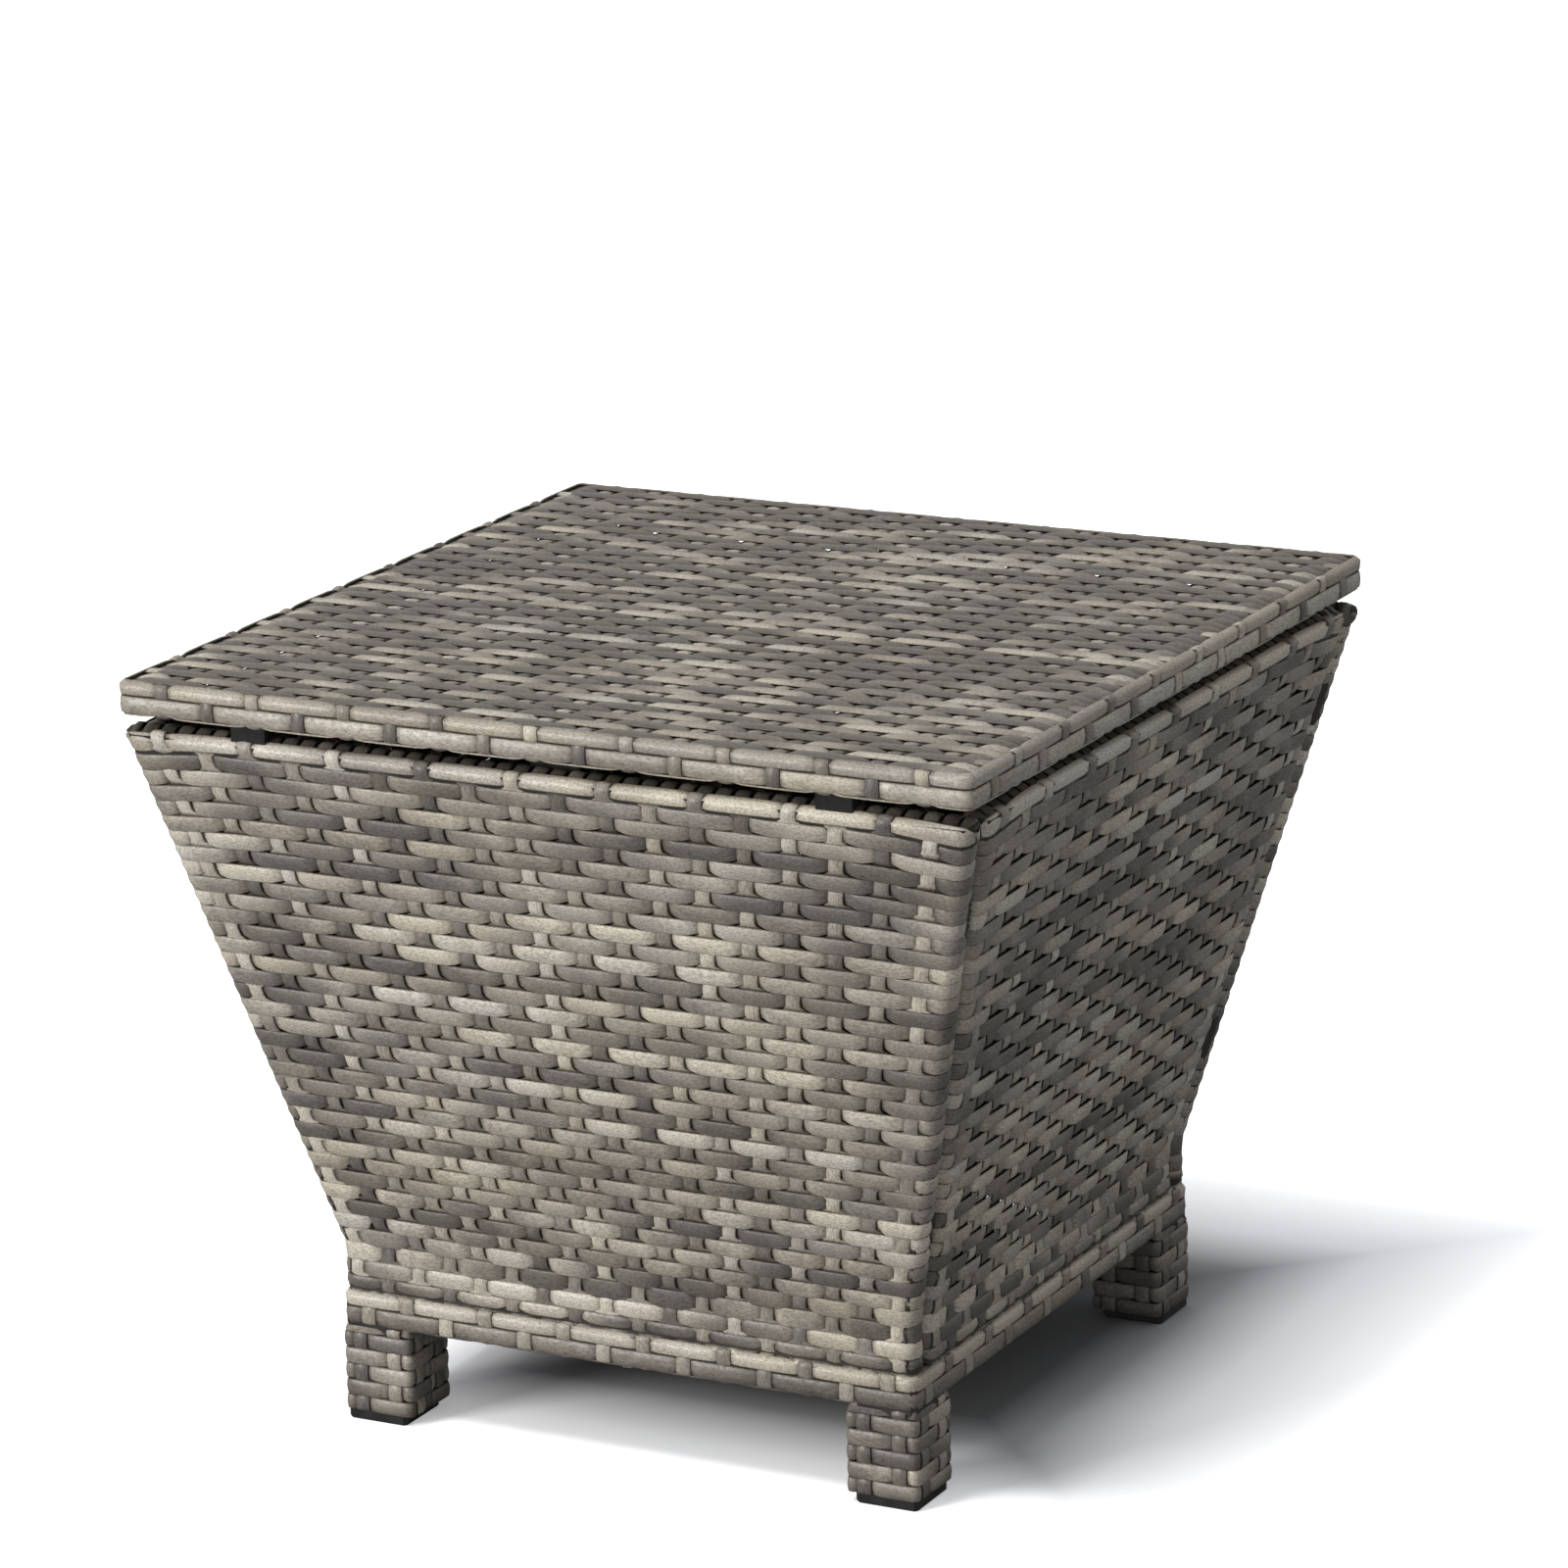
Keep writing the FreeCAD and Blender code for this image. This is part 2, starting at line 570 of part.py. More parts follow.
def lid_edge_weave():
    """The front side of the lid's edge: two strand rows, rolled over the frame tube and under it."""
    outer = LID_SIDE / 2
    low = LID_BOTTOM_Z
    high = OVERALL_HEIGHT - GROOVE
    middle = (low + high) / 2
    under = LID_UNDER_ROLL
    band = outer - LID_EDGE_BAND
    spots = [
        (LID_FRAME_INNER, low), (outer - under, low), (outer, low + under),
        (outer, middle - GROOVE_FLANK), (outer - GROOVE, middle), (outer, middle + GROOVE_FLANK),
        (outer, high - LID_EDGE_ROLL), (outer - LID_EDGE_ROLL, high), (band, high),
        (band, LID_TUBE_TOP_Z), (LID_FRAME_OUTER, LID_TUBE_TOP_Z),
        (LID_FRAME_OUTER, LID_TUBE_BOTTOM_Z), (LID_FRAME_INNER, LID_TUBE_BOTTOM_Z),
    ]
    bar = prism([Vector(-outer, -y, z) for y, z in spots], Vector(2 * outer, 0, 0))
    wedge = [(0, 0), (-outer - PAST, -outer - PAST), (outer + PAST, -outer - PAST)]
    wedge = prism([Vector(x, y, 0) for x, y in wedge], Vector(0, 0, OVERALL_HEIGHT + PAST))
    corners = square_prism(outer, LID_CORNER, low, OVERALL_HEIGHT)
    frame = square_prism(LID_FRAME_OUTER, LID_FRAME_CORNER, LID_TUBE_BOTTOM_Z, LID_TUBE_TOP_Z)
    return bar.common(wedge).common(corners).cut(frame)


# Rubber pads under the lid stand on the middle of the front and back panels' tilted top faces.

def lid_pad(side):
    x = side * PAD_SPREAD / 2
    middle_y = face_point(0, PANEL_LENGTH, -PANEL_THICKNESS / 2).y
    ends = [middle_y - PAD_WIDTH / 2, middle_y + PAD_WIDTH / 2]
    rise = math.tan(LEAN)
    outer_top = face_point(0, PANEL_LENGTH, 0)
    feet = [outer_top.z + (y - outer_top.y) * rise + PAD_REST_GAP for y in ends]
    corners = [(ends[0], feet[0]), (ends[1], feet[1]), (ends[1], LID_BOTTOM_Z), (ends[0], LID_BOTTOM_Z)]
    points = [Vector(x - PAD_LENGTH / 2, y, z) for y, z in corners]
    return prism(points, Vector(PAD_LENGTH, 0, 0))


def locating_tab():
    """A bent strip on the front lid tube that hangs inside the front panel's top rail."""
    inside_top = face_point(0, PANEL_LENGTH, -PANEL_THICKNESS)
    low = inside_top.z - TAB_REACH
    outer = -inside_top.y - TAB_REACH * math.tan(LEAN) - TAB_CLEARANCE
    inner = outer - TAB_THICKNESS
    high = LID_TUBE_BOTTOM_Z + TAB_THICKNESS
    spots = [
        (-LID_FRAME_INNER, LID_TUBE_BOTTOM_Z), (-outer, LID_TUBE_BOTTOM_Z), (-outer, low),
        (-inner, low), (-inner, high - TAB_THICKNESS / 2), (-inner - TAB_THICKNESS / 2, high),
        (-LID_FRAME_INNER, high),
    ]
    return prism([Vector(-TAB_WIDTH / 2, y, z) for y, z in spots], Vector(TAB_WIDTH, 0, 0))


def save_panels():
    wide = panel_tubes(0)
    narrow = panel_tubes(SIDE_PANEL_SETBACK)
    wide_weave = panel_weave(0)
    narrow_weave = panel_weave(SIDE_PANEL_SETBACK)
    sides = [("front", 0, wide, wide_weave), ("right", 90, narrow, narrow_weave),
             ("back", 180, wide, wide_weave), ("left", 270, narrow, narrow_weave)]
    for side, degrees, tubes, weave in sides:
        save(side + "_panel_weave", [turned(solid, degrees) for solid in weave])
        for piece, shape in tubes.items():
            save(side + "_panel_" + piece, [turned(shape, degrees)])
        save(side + "_base_rail", [turned(base_rail(), degrees)])
        save(side + "_base_rail_weave", [turned(base_rail_weave(), degrees)])


def save_legs():
    corners = [("front_right", 0), ("back_right", 90), ("back_left", 180), ("front_left", 270)]
    for corner, degrees in corners:
        save(corner + "_leg_tube", [turned(leg_tube(), degrees)])
        save(corner + "_leg_weave", [turned(leg_weave(), degrees)])
        save(corner + "_foot_cap", [turned(foot_cap(), degrees)])


def save_fasteners():
    save("corner_nut_ears", all_corners([seam.nut_ear() for seam in SEAMS]))
    save("corner_slot_ears", all_corners([seam.slot_ear() for seam in SEAMS]))
    save("corner_bolts", all_corners([seam.bolt() for seam in SEAMS]))
    save("corner_nuts", all_corners([seam.nut() for seam in SEAMS]))
    save("base_bolts", all_sides([base_bolt()]))
    save("base_nuts", all_sides([base_nut()]))


def save_lid():
    save("lid_frame", all_sides([lid_frame_tube()]))
    save("lid_cross_tubes", [lid_cross_tube(side * LID_BRACE_SPACING / 2) for side in (-1, 1)])
    save("lid_top_weave", [lid_top_sheet()])
    save("lid_edge_weave", all_sides([lid_edge_weave()]))
    pads = [lid_pad(side) for side in (-1, 1)]
    save("lid_rubber_pads", pads + [turned(pad, 180) for pad in pads])
    save("lid_locating_tabs", all_sides([locating_tab()]))


os.makedirs("parts", exist_ok=True)
save_panels()
save_legs()
save_fasteners()
save_lid()
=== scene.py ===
# %% [markdown]
# # A woven table that hides a propane tank
# The real table is a frame of thin tubes with flat plastic strand woven over it.
# Four panels lean outwards from a low base on short legs, and a woven lid lies loose on top.
# The tubes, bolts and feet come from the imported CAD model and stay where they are.
# The weaving is made here, strand by strand, because a flat sheet with a bump map
# shows no dark gaps between the strands and no strand that dives under its neighbour.

import math

import bpy
from mathutils import Matrix, Vector


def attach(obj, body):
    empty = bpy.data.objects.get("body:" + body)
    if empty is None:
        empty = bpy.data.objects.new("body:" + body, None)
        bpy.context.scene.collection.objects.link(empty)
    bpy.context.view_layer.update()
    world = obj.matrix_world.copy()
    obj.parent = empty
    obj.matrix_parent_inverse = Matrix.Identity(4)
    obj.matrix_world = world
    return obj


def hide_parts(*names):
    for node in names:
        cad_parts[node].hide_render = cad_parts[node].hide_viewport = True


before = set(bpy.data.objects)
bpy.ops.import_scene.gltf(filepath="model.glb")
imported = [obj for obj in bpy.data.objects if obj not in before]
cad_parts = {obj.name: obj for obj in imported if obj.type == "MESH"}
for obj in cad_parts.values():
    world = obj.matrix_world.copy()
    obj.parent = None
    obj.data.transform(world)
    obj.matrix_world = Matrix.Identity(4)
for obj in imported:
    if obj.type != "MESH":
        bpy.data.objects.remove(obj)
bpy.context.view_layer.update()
scene = bpy.context.scene
MM = 0.001

# %% [markdown]
# ## Sums that read as formulas
# A weave follows a rule: where a cross strand has an even number it goes over, and where it has an
# odd number it goes under. Geometry Nodes can work that rule out at every point, but a tree of a
# hundred Math nodes is hard to read. This small class stands for one socket, and plus, minus and
# times on it add the Math node, so the tree is built from ordinary nodes but written as a formula.

# %% A socket that takes part in sums
def plug(tree, value, slot):
    if isinstance(value, Field):
        tree.links.new(value.socket, slot)
    else:
        slot.default_value = value


class Field:
    """A number that a Geometry Nodes tree works out at every point."""

    def __init__(self, tree, socket):
        self.tree = tree
        self.socket = socket

    def math(self, operation, *others):
        node = self.tree.nodes.new("ShaderNodeMath")
        node.operation = operation
        for slot, value in zip(node.inputs, (self, *others)):
            plug(self.tree, value, slot)
        return Field(self.tree, node.outputs[0])

    def __add__(self, other):
        return self.math("ADD", other)

    def __sub__(self, other):
        return self.math("SUBTRACT", other)

    def __rsub__(self, other):
        return self * -1.0 + other

    def __mul__(self, other):
        return self.math("MULTIPLY", other)

    def __truediv__(self, other):
        return self.math("DIVIDE", other)

    def __neg__(self):
        return self * -1.0

    def clamp(self, low, high):
        return self.math("MAXIMUM", low).math("MINIMUM", high)

    def ease(self, low, high):
        """0 below low, 1 above high and an S-shaped curve between them."""
        share = ((self - low) / (high - low)).clamp(0.0, 1.0)
        return share * share * (share * -2.0 + 3.0)

    def sine(self):
        return self.math("SINE")

    def cosine(self):
        return self.math("COSINE")


# %% [markdown]
# ## Following a rounded edge
# Nearly every strand here runs along a face, bends over a rounded edge, crosses a narrow side, and
# bends again on to the back. One function covers panels, lid, rails and legs: it takes the distance
# along the strand from the middle of the face, and gives how far out and how deep that point lies.

# %% Bend a distance round the edges of a flat bar
def rolled(distance, flat, radius, back, out):
    """Reach and depth of a point on a face that ends at flat, with rounded edges and a side of
    back. out is how far the point stands off the surface, and is negative inside it."""
    far = distance.math("ABSOLUTE")
    past = (far - flat).math("MAXIMUM", 0.0)
    first = (past / radius).math("MINIMUM", math.pi / 2)
    side = (past - radius * (math.pi / 2)).clamp(0.0, back)
    second = ((past - radius * (math.pi / 2) - back) / radius).clamp(0.0, math.pi / 2)
    behind = (past - radius * math.pi - back).math("MAXIMUM", 0.0)
    angle = first + second
    reach = far.math("MINIMUM", flat) + (out + radius) * angle.sine() - behind
    depth = (out + radius) * angle.cosine() - radius - side
    return reach * distance.math("SIGN"), depth


# %% [markdown]
# ## A family of strands
# A strand is an eight-sided tube squashed flat, with its corners pushed out so that its edges are
# round, then cambered like a real extruded strand, whose middle stands above its edges.
# The tree puts one unit tube on each of a line of points, numbers them, makes the instances real
# and then moves every point to its place. Three facts stay with each point for the material: where
# it is along and across the strand, how light the dyed strand is there, and how high it lies.

# %% Build one family of strands in a tree
TUBE_SIDES = 8
CORNERS_OUT = 0.35  # how much of a cubic bulge the tube's section gets
CAMBER = 0.8  # times half a strand's thickness


def new_tree(name, sizes):
    """A node tree with one named input for each size."""
    tree = bpy.data.node_groups.new(name, "GeometryNodeTree")
    tree.interface.new_socket("Geometry", in_out="INPUT", socket_type="NodeSocketGeometry")
    tree.interface.new_socket("Geometry", in_out="OUTPUT", socket_type="NodeSocketGeometry")
    for label, value in sizes.items():
        socket = tree.interface.new_socket(label, in_out="INPUT", socket_type="NodeSocketFloat")
        socket.default_value = value
    entry = tree.nodes.new("NodeGroupInput")
    return tree, {label: Field(tree, entry.outputs[label]) for label in sizes}


def strands(tree, count, pieces, place):
    """count strands of so many pieces; place turns number, along, across and out into a spot,
    the strand's own coordinates, its tone and its height from -1, under, to 1, over."""
    add = tree.nodes.new
    link = tree.links.new
    line = add("GeometryNodePoints")
    plug(tree, count, line.inputs["Count"])
    tube = add("GeometryNodeMeshCylinder")
    tube.fill_type = "NGON"
    tube.inputs["Vertices"].default_value = TUBE_SIDES
    tube.inputs["Radius"].default_value = 1.0
    tube.inputs["Depth"].default_value = 1.0
    plug(tree, pieces, tube.inputs["Side Segments"])
    copies = add("GeometryNodeInstanceOnPoints")
    link(line.outputs[0], copies.inputs["Points"])
    link(tube.outputs["Mesh"], copies.inputs["Instance"])
    numbered = add("GeometryNodeStoreNamedAttribute")
    numbered.domain = "INSTANCE"
    numbered.inputs["Name"].default_value = "number"
    link(copies.outputs[0], numbered.inputs["Geometry"])
    link(add("GeometryNodeInputIndex").outputs[0], numbered.inputs["Value"])
    real = add("GeometryNodeRealizeInstances")
    link(numbered.outputs[0], real.inputs[0])
    number = add("GeometryNodeInputNamedAttribute")
    number.inputs["Name"].default_value = "number"
    split = add("ShaderNodeSeparateXYZ")
    link(add("GeometryNodeInputPosition").outputs[0], split.inputs[0])
    across, out, along = (Field(tree, socket) for socket in split.outputs)
    across, out = (part * (part * part * -CORNERS_OUT + (1 + CORNERS_OUT))
                   for part in (across, out))
    out = out - across * across * CAMBER
    which = Field(tree, number.outputs["Attribute"])
    spot, strand, tone, height = place(which, along + 0.5, across, out)
    geometry = real.outputs[0]
    for name, values in (("strand", strand), ("tone", [tone]), ("height", [height])):
        keep = add("GeometryNodeStoreNamedAttribute")
        keep.inputs["Name"].default_value = name
        if len(values) == 3:
            keep.data_type = "FLOAT_VECTOR"
            link(vector(tree, values), keep.inputs["Value"])
        else:
            plug(tree, values[0], keep.inputs["Value"])
        link(geometry, keep.inputs["Geometry"])
        geometry = keep.outputs[0]
    move = add("GeometryNodeSetPosition")
    link(geometry, move.inputs["Geometry"])
    link(vector(tree, spot), move.inputs["Position"])
    return move.outputs[0]


def vector(tree, parts):
    """Three numbers joined into one vector."""
    join = tree.nodes.new("ShaderNodeCombineXYZ")
    for slot, part in zip(join.inputs, parts):
        plug(tree, part, slot)
    return join.outputs[0]


def close_tree(tree, families, turn=0.0):
    """Joins the families, turns them about the upright axis, smooths and ends the tree."""
    join = tree.nodes.new("GeometryNodeJoinGeometry")
    for family in families:
        tree.links.new(family, join.inputs[0])
    spin = tree.nodes.new("GeometryNodeTransform")
    tree.links.new(join.outputs[0], spin.inputs["Geometry"])
    tree.links.new(vector(tree, (0.0, 0.0, turn)), spin.inputs["Rotation"])
    smooth = tree.nodes.new("GeometryNodeSetShadeSmooth")
    real = tree.nodes.new("GeometryNodeRealizeInstances")
    finish = tree.nodes.new("GeometryNodeSetMaterial")
    finish.inputs["Material"].default_value = strand_finish
    ending = tree.nodes.new("NodeGroupOutput")
    chain = [spin, smooth, real, finish, ending]
    for before, after in zip(chain, chain[1:]):
        tree.links.new(before.outputs[0], after.inputs[0])
    print(tree.name, "has", len(tree.nodes), "nodes")


# %% [markdown]
# ## Tone of the dyed strand
# The strand is dyed in long runs, so one row goes from beige to dark grey and back within a hand's
# width or two, and the next row does so elsewhere. A smooth noise along each row gives the runs,
# and a random step from row to row keeps neighbours apart.

# %% Tone along a strand
ROW_APART = 7.3  # in the noise, from one strand to the next
RUNS_WEIGHT = 3.6  # the noise keeps near its middle, so the runs are made stronger
DYE_SEED = 7


def dyed(tree, along, number, run, middle, contrast, seed):
    """Tone from 0, dark, to 1, light, in runs of about the given length."""
    noise = tree.nodes.new("ShaderNodeTexNoise")
    noise.noise_dimensions = "2D"
    noise.inputs["Scale"].default_value = 1.0
    noise.inputs["Detail"].default_value = 1.0
    where = vector(tree, (along / run, number * ROW_APART + seed, 0.0))
    tree.links.new(where, noise.inputs["Vector"])
    step = tree.nodes.new("FunctionNodeRandomValue")
    tree.links.new((number + seed).socket, step.inputs["ID"])
    step.inputs["Seed"].default_value = DYE_SEED
    runs = Field(tree, noise.outputs[0]) - 0.5
    steps = Field(tree, step.outputs[1]) - 0.5
    return (runs * (contrast * RUNS_WEIGHT) + steps * contrast + middle).clamp(0.0, 1.0)


# %% [markdown]
# ## Strand material
# The strand is solid-dyed polyethylene with a faint fibrous grain pressed into it and a satin skin.
# Its colour comes from the tone kept on each point, and the grain from noise that is stretched
# along the strand. The height kept on each point paints shade on what lies deep between other
# strands, and each strand's edges are darkened with painted shade where it meets its neighbours.
# Grain is shared with other finishes, so it is a node group.

# %% Node group for grain
def shader_group(name, inputs, outputs):
    """An empty shader group with its sockets, and its entry and ending nodes."""
    group = bpy.data.node_groups.new(name, "ShaderNodeTree")
    for label, (kind, value) in inputs.items():
        socket = group.interface.new_socket(label, in_out="INPUT", socket_type=kind)
        if value is not None:
            socket.default_value = value
    for label, kind in outputs.items():
        group.interface.new_socket(label, in_out="OUTPUT", socket_type=kind)
    return group, group.nodes.new("NodeGroupInput"), group.nodes.new("NodeGroupOutput")


def grain_group():
    """Fine specks and longer cloudy patches, both from 0 to 1."""
    group, entry, ending = shader_group(
        "grain",
        {"Place": ("NodeSocketVector", None), "Speck size": ("NodeSocketFloat", 0.001),
         "Patch size": ("NodeSocketFloat", 0.02)},
        {"Specks": "NodeSocketFloat", "Patches": "NodeSocketFloat"})
    for label, size, detail in (("Specks", "Speck size", 3.0), ("Patches", "Patch size", 2.0)):
        scale = group.nodes.new("ShaderNodeMath")
        scale.operation = "DIVIDE"
        scale.inputs[0].default_value = 1.0
        group.links.new(entry.outputs[size], scale.inputs[1])
        noise = group.nodes.new("ShaderNodeTexNoise")
        noise.inputs["Detail"].default_value = detail
        group.links.new(entry.outputs["Place"], noise.inputs["Vector"])
        group.links.new(scale.outputs[0], noise.inputs["Scale"])
        group.links.new(noise.outputs[0], ending.inputs[label])
    return group


grain = grain_group()
print("grain group has", len(grain.nodes), "nodes")


# %% Helpers for materials
def linear(red, green, blue):
    """A colour as a picture shows it, from 0 to 255, in the numbers that shaders use."""
    parts = [value / 255 for value in (red, green, blue)]
    return [p / 12.92 if p <= 0.04045 else ((p + 0.055) / 1.055) ** 2.4 for p in parts] + [1.0]


def new_material(name):
    """A material with its tree and its main shader."""
    material = bpy.data.materials.new(name)
    material.use_nodes = True
    return material, material.node_tree, material.node_tree.nodes["Principled BSDF"]


def shade_math(tree, operation, *values):
    """One Math node in a shader tree."""
    node = tree.nodes.new("ShaderNodeMath")
    node.operation = operation
    for slot, value in zip(node.inputs, values):
        if isinstance(value, (int, float)):
            slot.default_value = value
        else:
            tree.links.new(value, slot)
    return node.outputs[0]


def ramp(tree, factor, stops):
    """A colour ramp through the given stops."""
    node = tree.nodes.new("ShaderNodeValToRGB")
    while len(node.color_ramp.elements) < len(stops):
        node.color_ramp.elements.new(0.5)
    for element, (place, colour) in zip(node.color_ramp.elements, stops):
        element.position = place
        element.color = colour
    tree.links.new(factor, node.inputs[0])
    return node.outputs[0]


def mixed(tree, blend, factor, first, second):
    """Two colours blended in the given way."""
    node = tree.nodes.new("ShaderNodeMix")
    node.data_type = "RGBA"
    node.blend_type = blend
    factor_slot, first_slot, second_slot = node.inputs[0], node.inputs[6], node.inputs[7]
    for slot, value in ((factor_slot, factor), (first_slot, first), (second_slot, second)):
        if isinstance(value, (int, float, list)):
            slot.default_value = value
        else:
            tree.links.new(value, slot)
    return node.outputs[2]


def bumped(tree, shader, height, distance):
    """Fine relief on a shader's skin."""
    bump = tree.nodes.new("ShaderNodeBump")
    bump.inputs["Strength"].default_value = 0.5
    bump.inputs["Distance"].default_value = distance
    tree.links.new(height, bump.inputs["Height"])
    tree.links.new(bump.outputs[0], shader.inputs["Normal"])


# %% Strand material
STRAND_WIDTH = 11.3 * MM
STRAND_THICK = 1.5 * MM
FIBRE_LAYERS = ((0.45, 0.36, 12), (-0.45, 0.36, 12), (0.0, 0.2, 45))  # slant, stretch, patch in mm
DYES = [(0.05, linear(118, 111, 103)), (0.38, linear(158, 149, 137)),
        (0.68, linear(198, 188, 171)), (1.0, linear(228, 219, 201))]


def grey(level):
    """A colour with three equal parts."""
    return [level, level, level, 1]


def strand_material():
    """Satin strand: dye, warm and cool patches, fibres, and painted shade on edges and depths."""
    material, tree, shader = new_material("woven_strand")
    link = tree.links.new
    place = tree.nodes.new("ShaderNodeAttribute")
    place.attribute_name = "strand"
    tone = tree.nodes.new("ShaderNodeAttribute")
    tone.attribute_name = "tone"
    split = tree.nodes.new("ShaderNodeSeparateXYZ")
    link(place.outputs["Vector"], split.inputs[0])
    fibres = []
    for slant, length, patch in FIBRE_LAYERS:
        turn = tree.nodes.new("ShaderNodeMapping")
        turn.inputs["Rotation"].default_value = (0.0, 0.0, slant)
        link(place.outputs["Vector"], turn.inputs["Vector"])
        stretch = tree.nodes.new("ShaderNodeMapping")
        stretch.inputs["Scale"].default_value = (length, 1.0, 1.0)
        link(turn.outputs[0], stretch.inputs["Vector"])
        layer = tree.nodes.new("ShaderNodeGroup")
        layer.node_tree = grain
        layer.inputs["Speck size"].default_value = 0.8 * MM
        layer.inputs["Patch size"].default_value = patch * MM
        link(stretch.outputs[0], layer.inputs["Place"])
        fibres.append(layer)
    crossed = shade_math(tree, "ADD", fibres[0].outputs["Specks"], fibres[1].outputs["Specks"])
    level = shade_math(tree, "MULTIPLY", fibres[2].outputs["Specks"], 0.3)
    fibre = shade_math(tree, "MULTIPLY_ADD", crossed, 0.35, level)
    patched = shade_math(tree, "MULTIPLY_ADD", fibres[0].outputs["Patches"], 0.4, -0.2)
    colour = ramp(tree, shade_math(tree, "ADD", tone.outputs["Fac"], patched), DYES)
    hue = ramp(tree, fibres[2].outputs["Patches"], [
        (0.38, [1.01, 1.0, 0.965, 1]), (0.62, [0.98, 1.0, 1.055, 1])])
    colour = mixed(tree, "MULTIPLY", 1.0, colour, hue)
    specks = ramp(tree, fibre, [
        (0.42, [0.66, 0.65, 0.63, 1]), (0.50, grey(0.98)), (0.58, grey(1.22))])
    colour = mixed(tree, "MULTIPLY", 1.0, colour, specks)
    # Painted shade: each strand darkens towards its edges, where it meets its neighbours.
    edge = shade_math(tree, "ABSOLUTE", split.outputs["Y"])
    edge = ramp(tree, shade_math(tree, "DIVIDE", edge, STRAND_WIDTH / 2), [
        (0.82, grey(1)), (1.0, [0.5, 0.48, 0.45, 1])])
    colour = mixed(tree, "MULTIPLY", 1.0, colour, edge)
    # Painted shade: points that lie deep under other strands are darkened by their height.
    height = tree.nodes.new("ShaderNodeAttribute")
    height.attribute_name = "height"
    from_below = shade_math(tree, "MULTIPLY_ADD", height.outputs["Fac"], 0.5, 0.5)
    painted_depth_shade = ramp(tree, from_below, [
        (0.05, [0.12, 0.11, 0.10, 1]), (0.3, [0.6, 0.59, 0.57, 1]), (0.58, grey(1))])
    link(mixed(tree, "MULTIPLY", 1.0, colour, painted_depth_shade), shader.inputs["Base Color"])
    link(ramp(tree, fibre, [(0.4, grey(0.46)), (0.6, grey(0.3))]), shader.inputs["Roughness"])
    shader.inputs["Specular IOR Level"].default_value = 0.5
    bumped(tree, shader, fibre, 0.3 * MM)
    return material


strand_finish = strand_material()
print("strand material:", len(strand_finish.node_tree.nodes), "nodes")

# %% [markdown]
# ## Over and under
# In a plain weave the row and the upright swap places at every crossing. The sum of their two
# numbers is even where the row lies on top and odd where it is beneath. Stiff plastic strand runs
# level along its float and dives just before the crossing, so the height depends on how many
# millimetres away the next dive is, not on a plain wave. Beside a dive the row is pushed up and
# made narrower, more so on the dive's right, which leaves a dark wedge below it at each upright.

# %% The rule of the weave
DEEP = 2.4 * MM  # half the swing of a strand between over and under, in an open weave
SHALLOW = 0.85 * MM  # and where a tube lies right behind it
FLOAT_EASE = (1.0 * MM, 13 * MM)  # from a dive: where the row starts to rise, and lies level
PUSH_EASE = (4.0 * MM, 17 * MM)
GRAIN_APART = 0.31  # metres of grain between one strand and the next


def from_dive(phase, step):
    """Distance to the nearest place where a row goes under, and the side of it that this is."""
    half_turns = (phase / 2.0).math("FRACT") - 0.5
    return half_turns.math("ABSOLUTE") * step * 2.0, half_turns.math("SIGN")


def float_height(phase, step):
    """A row's height: 1 along its float, -1 where it goes under."""
    distance, _ = from_dive(phase, step)
    return distance.ease(*FLOAT_EASE) * 1.8 - 0.9 + (phase * math.pi).cosine() * 0.1


def beside_dive(phase, step, across):
    """How far a row's point is pushed up beside a dive, its lower edge further than its upper."""
    distance, side = from_dive(phase, step)
    near = 1.0 - distance.ease(*PUSH_EASE)
    upwards = side * distance.ease(0.0, 4 * MM) * 0.25 + 0.6
    return near * (upwards - across * 0.45) * MM


def spread(height):
    """Extra half width of an upright where rows hide it, which closes the weave."""
    return (-height).ease(-0.05, 0.45) * (6.3 * MM)


def tie_height(phase):
    """An upright's height: a short domed piece over every second row."""
    wave = (phase * math.pi).cosine() * -1.3
    return wave.math("TANH") / math.tanh(1.3)


def lying(height, out, swing):
    """How far a strand's skin stands off the face, which it touches where it lies over."""
    return (height - 1.0) * swing + (out - 1.0) * (STRAND_THICK / 2)


def low_tie(height, out, swing):
    """An upright's skin: pulled tight, it lies lower than the floats do where the weave is deep."""
    return lying(height, out, swing) - (height + 1.0) * (swing - SHALLOW) * 0.4


def on_strand(along, across, number, family=0.0):
    """The strand's own coordinates for the grain, apart from those of every other strand."""
    return along, across * (STRAND_WIDTH / 2), number * GRAIN_APART + family


def turned(quarters, x, y, z):
    """A point turned about the upright axis by so many quarters of a turn."""
    angle = quarters * (math.pi / 2)
    return x * angle.cosine() - y * angle.sine(), x * angle.sine() + y * angle.cosine(), z


# %% [markdown]
# ## The four panels
# Each panel stands upright for three rows, then leans outwards. Its rows run side to side and bend
# round the side tubes; its uprights fan out with the panel and bend over the top and bottom rails.
# Extra strand is wound side by side over the top rail. The sizes are the CAD model's own. A place
# on a panel is u to the right of its middle and b up its face, and out is how far it stands off.

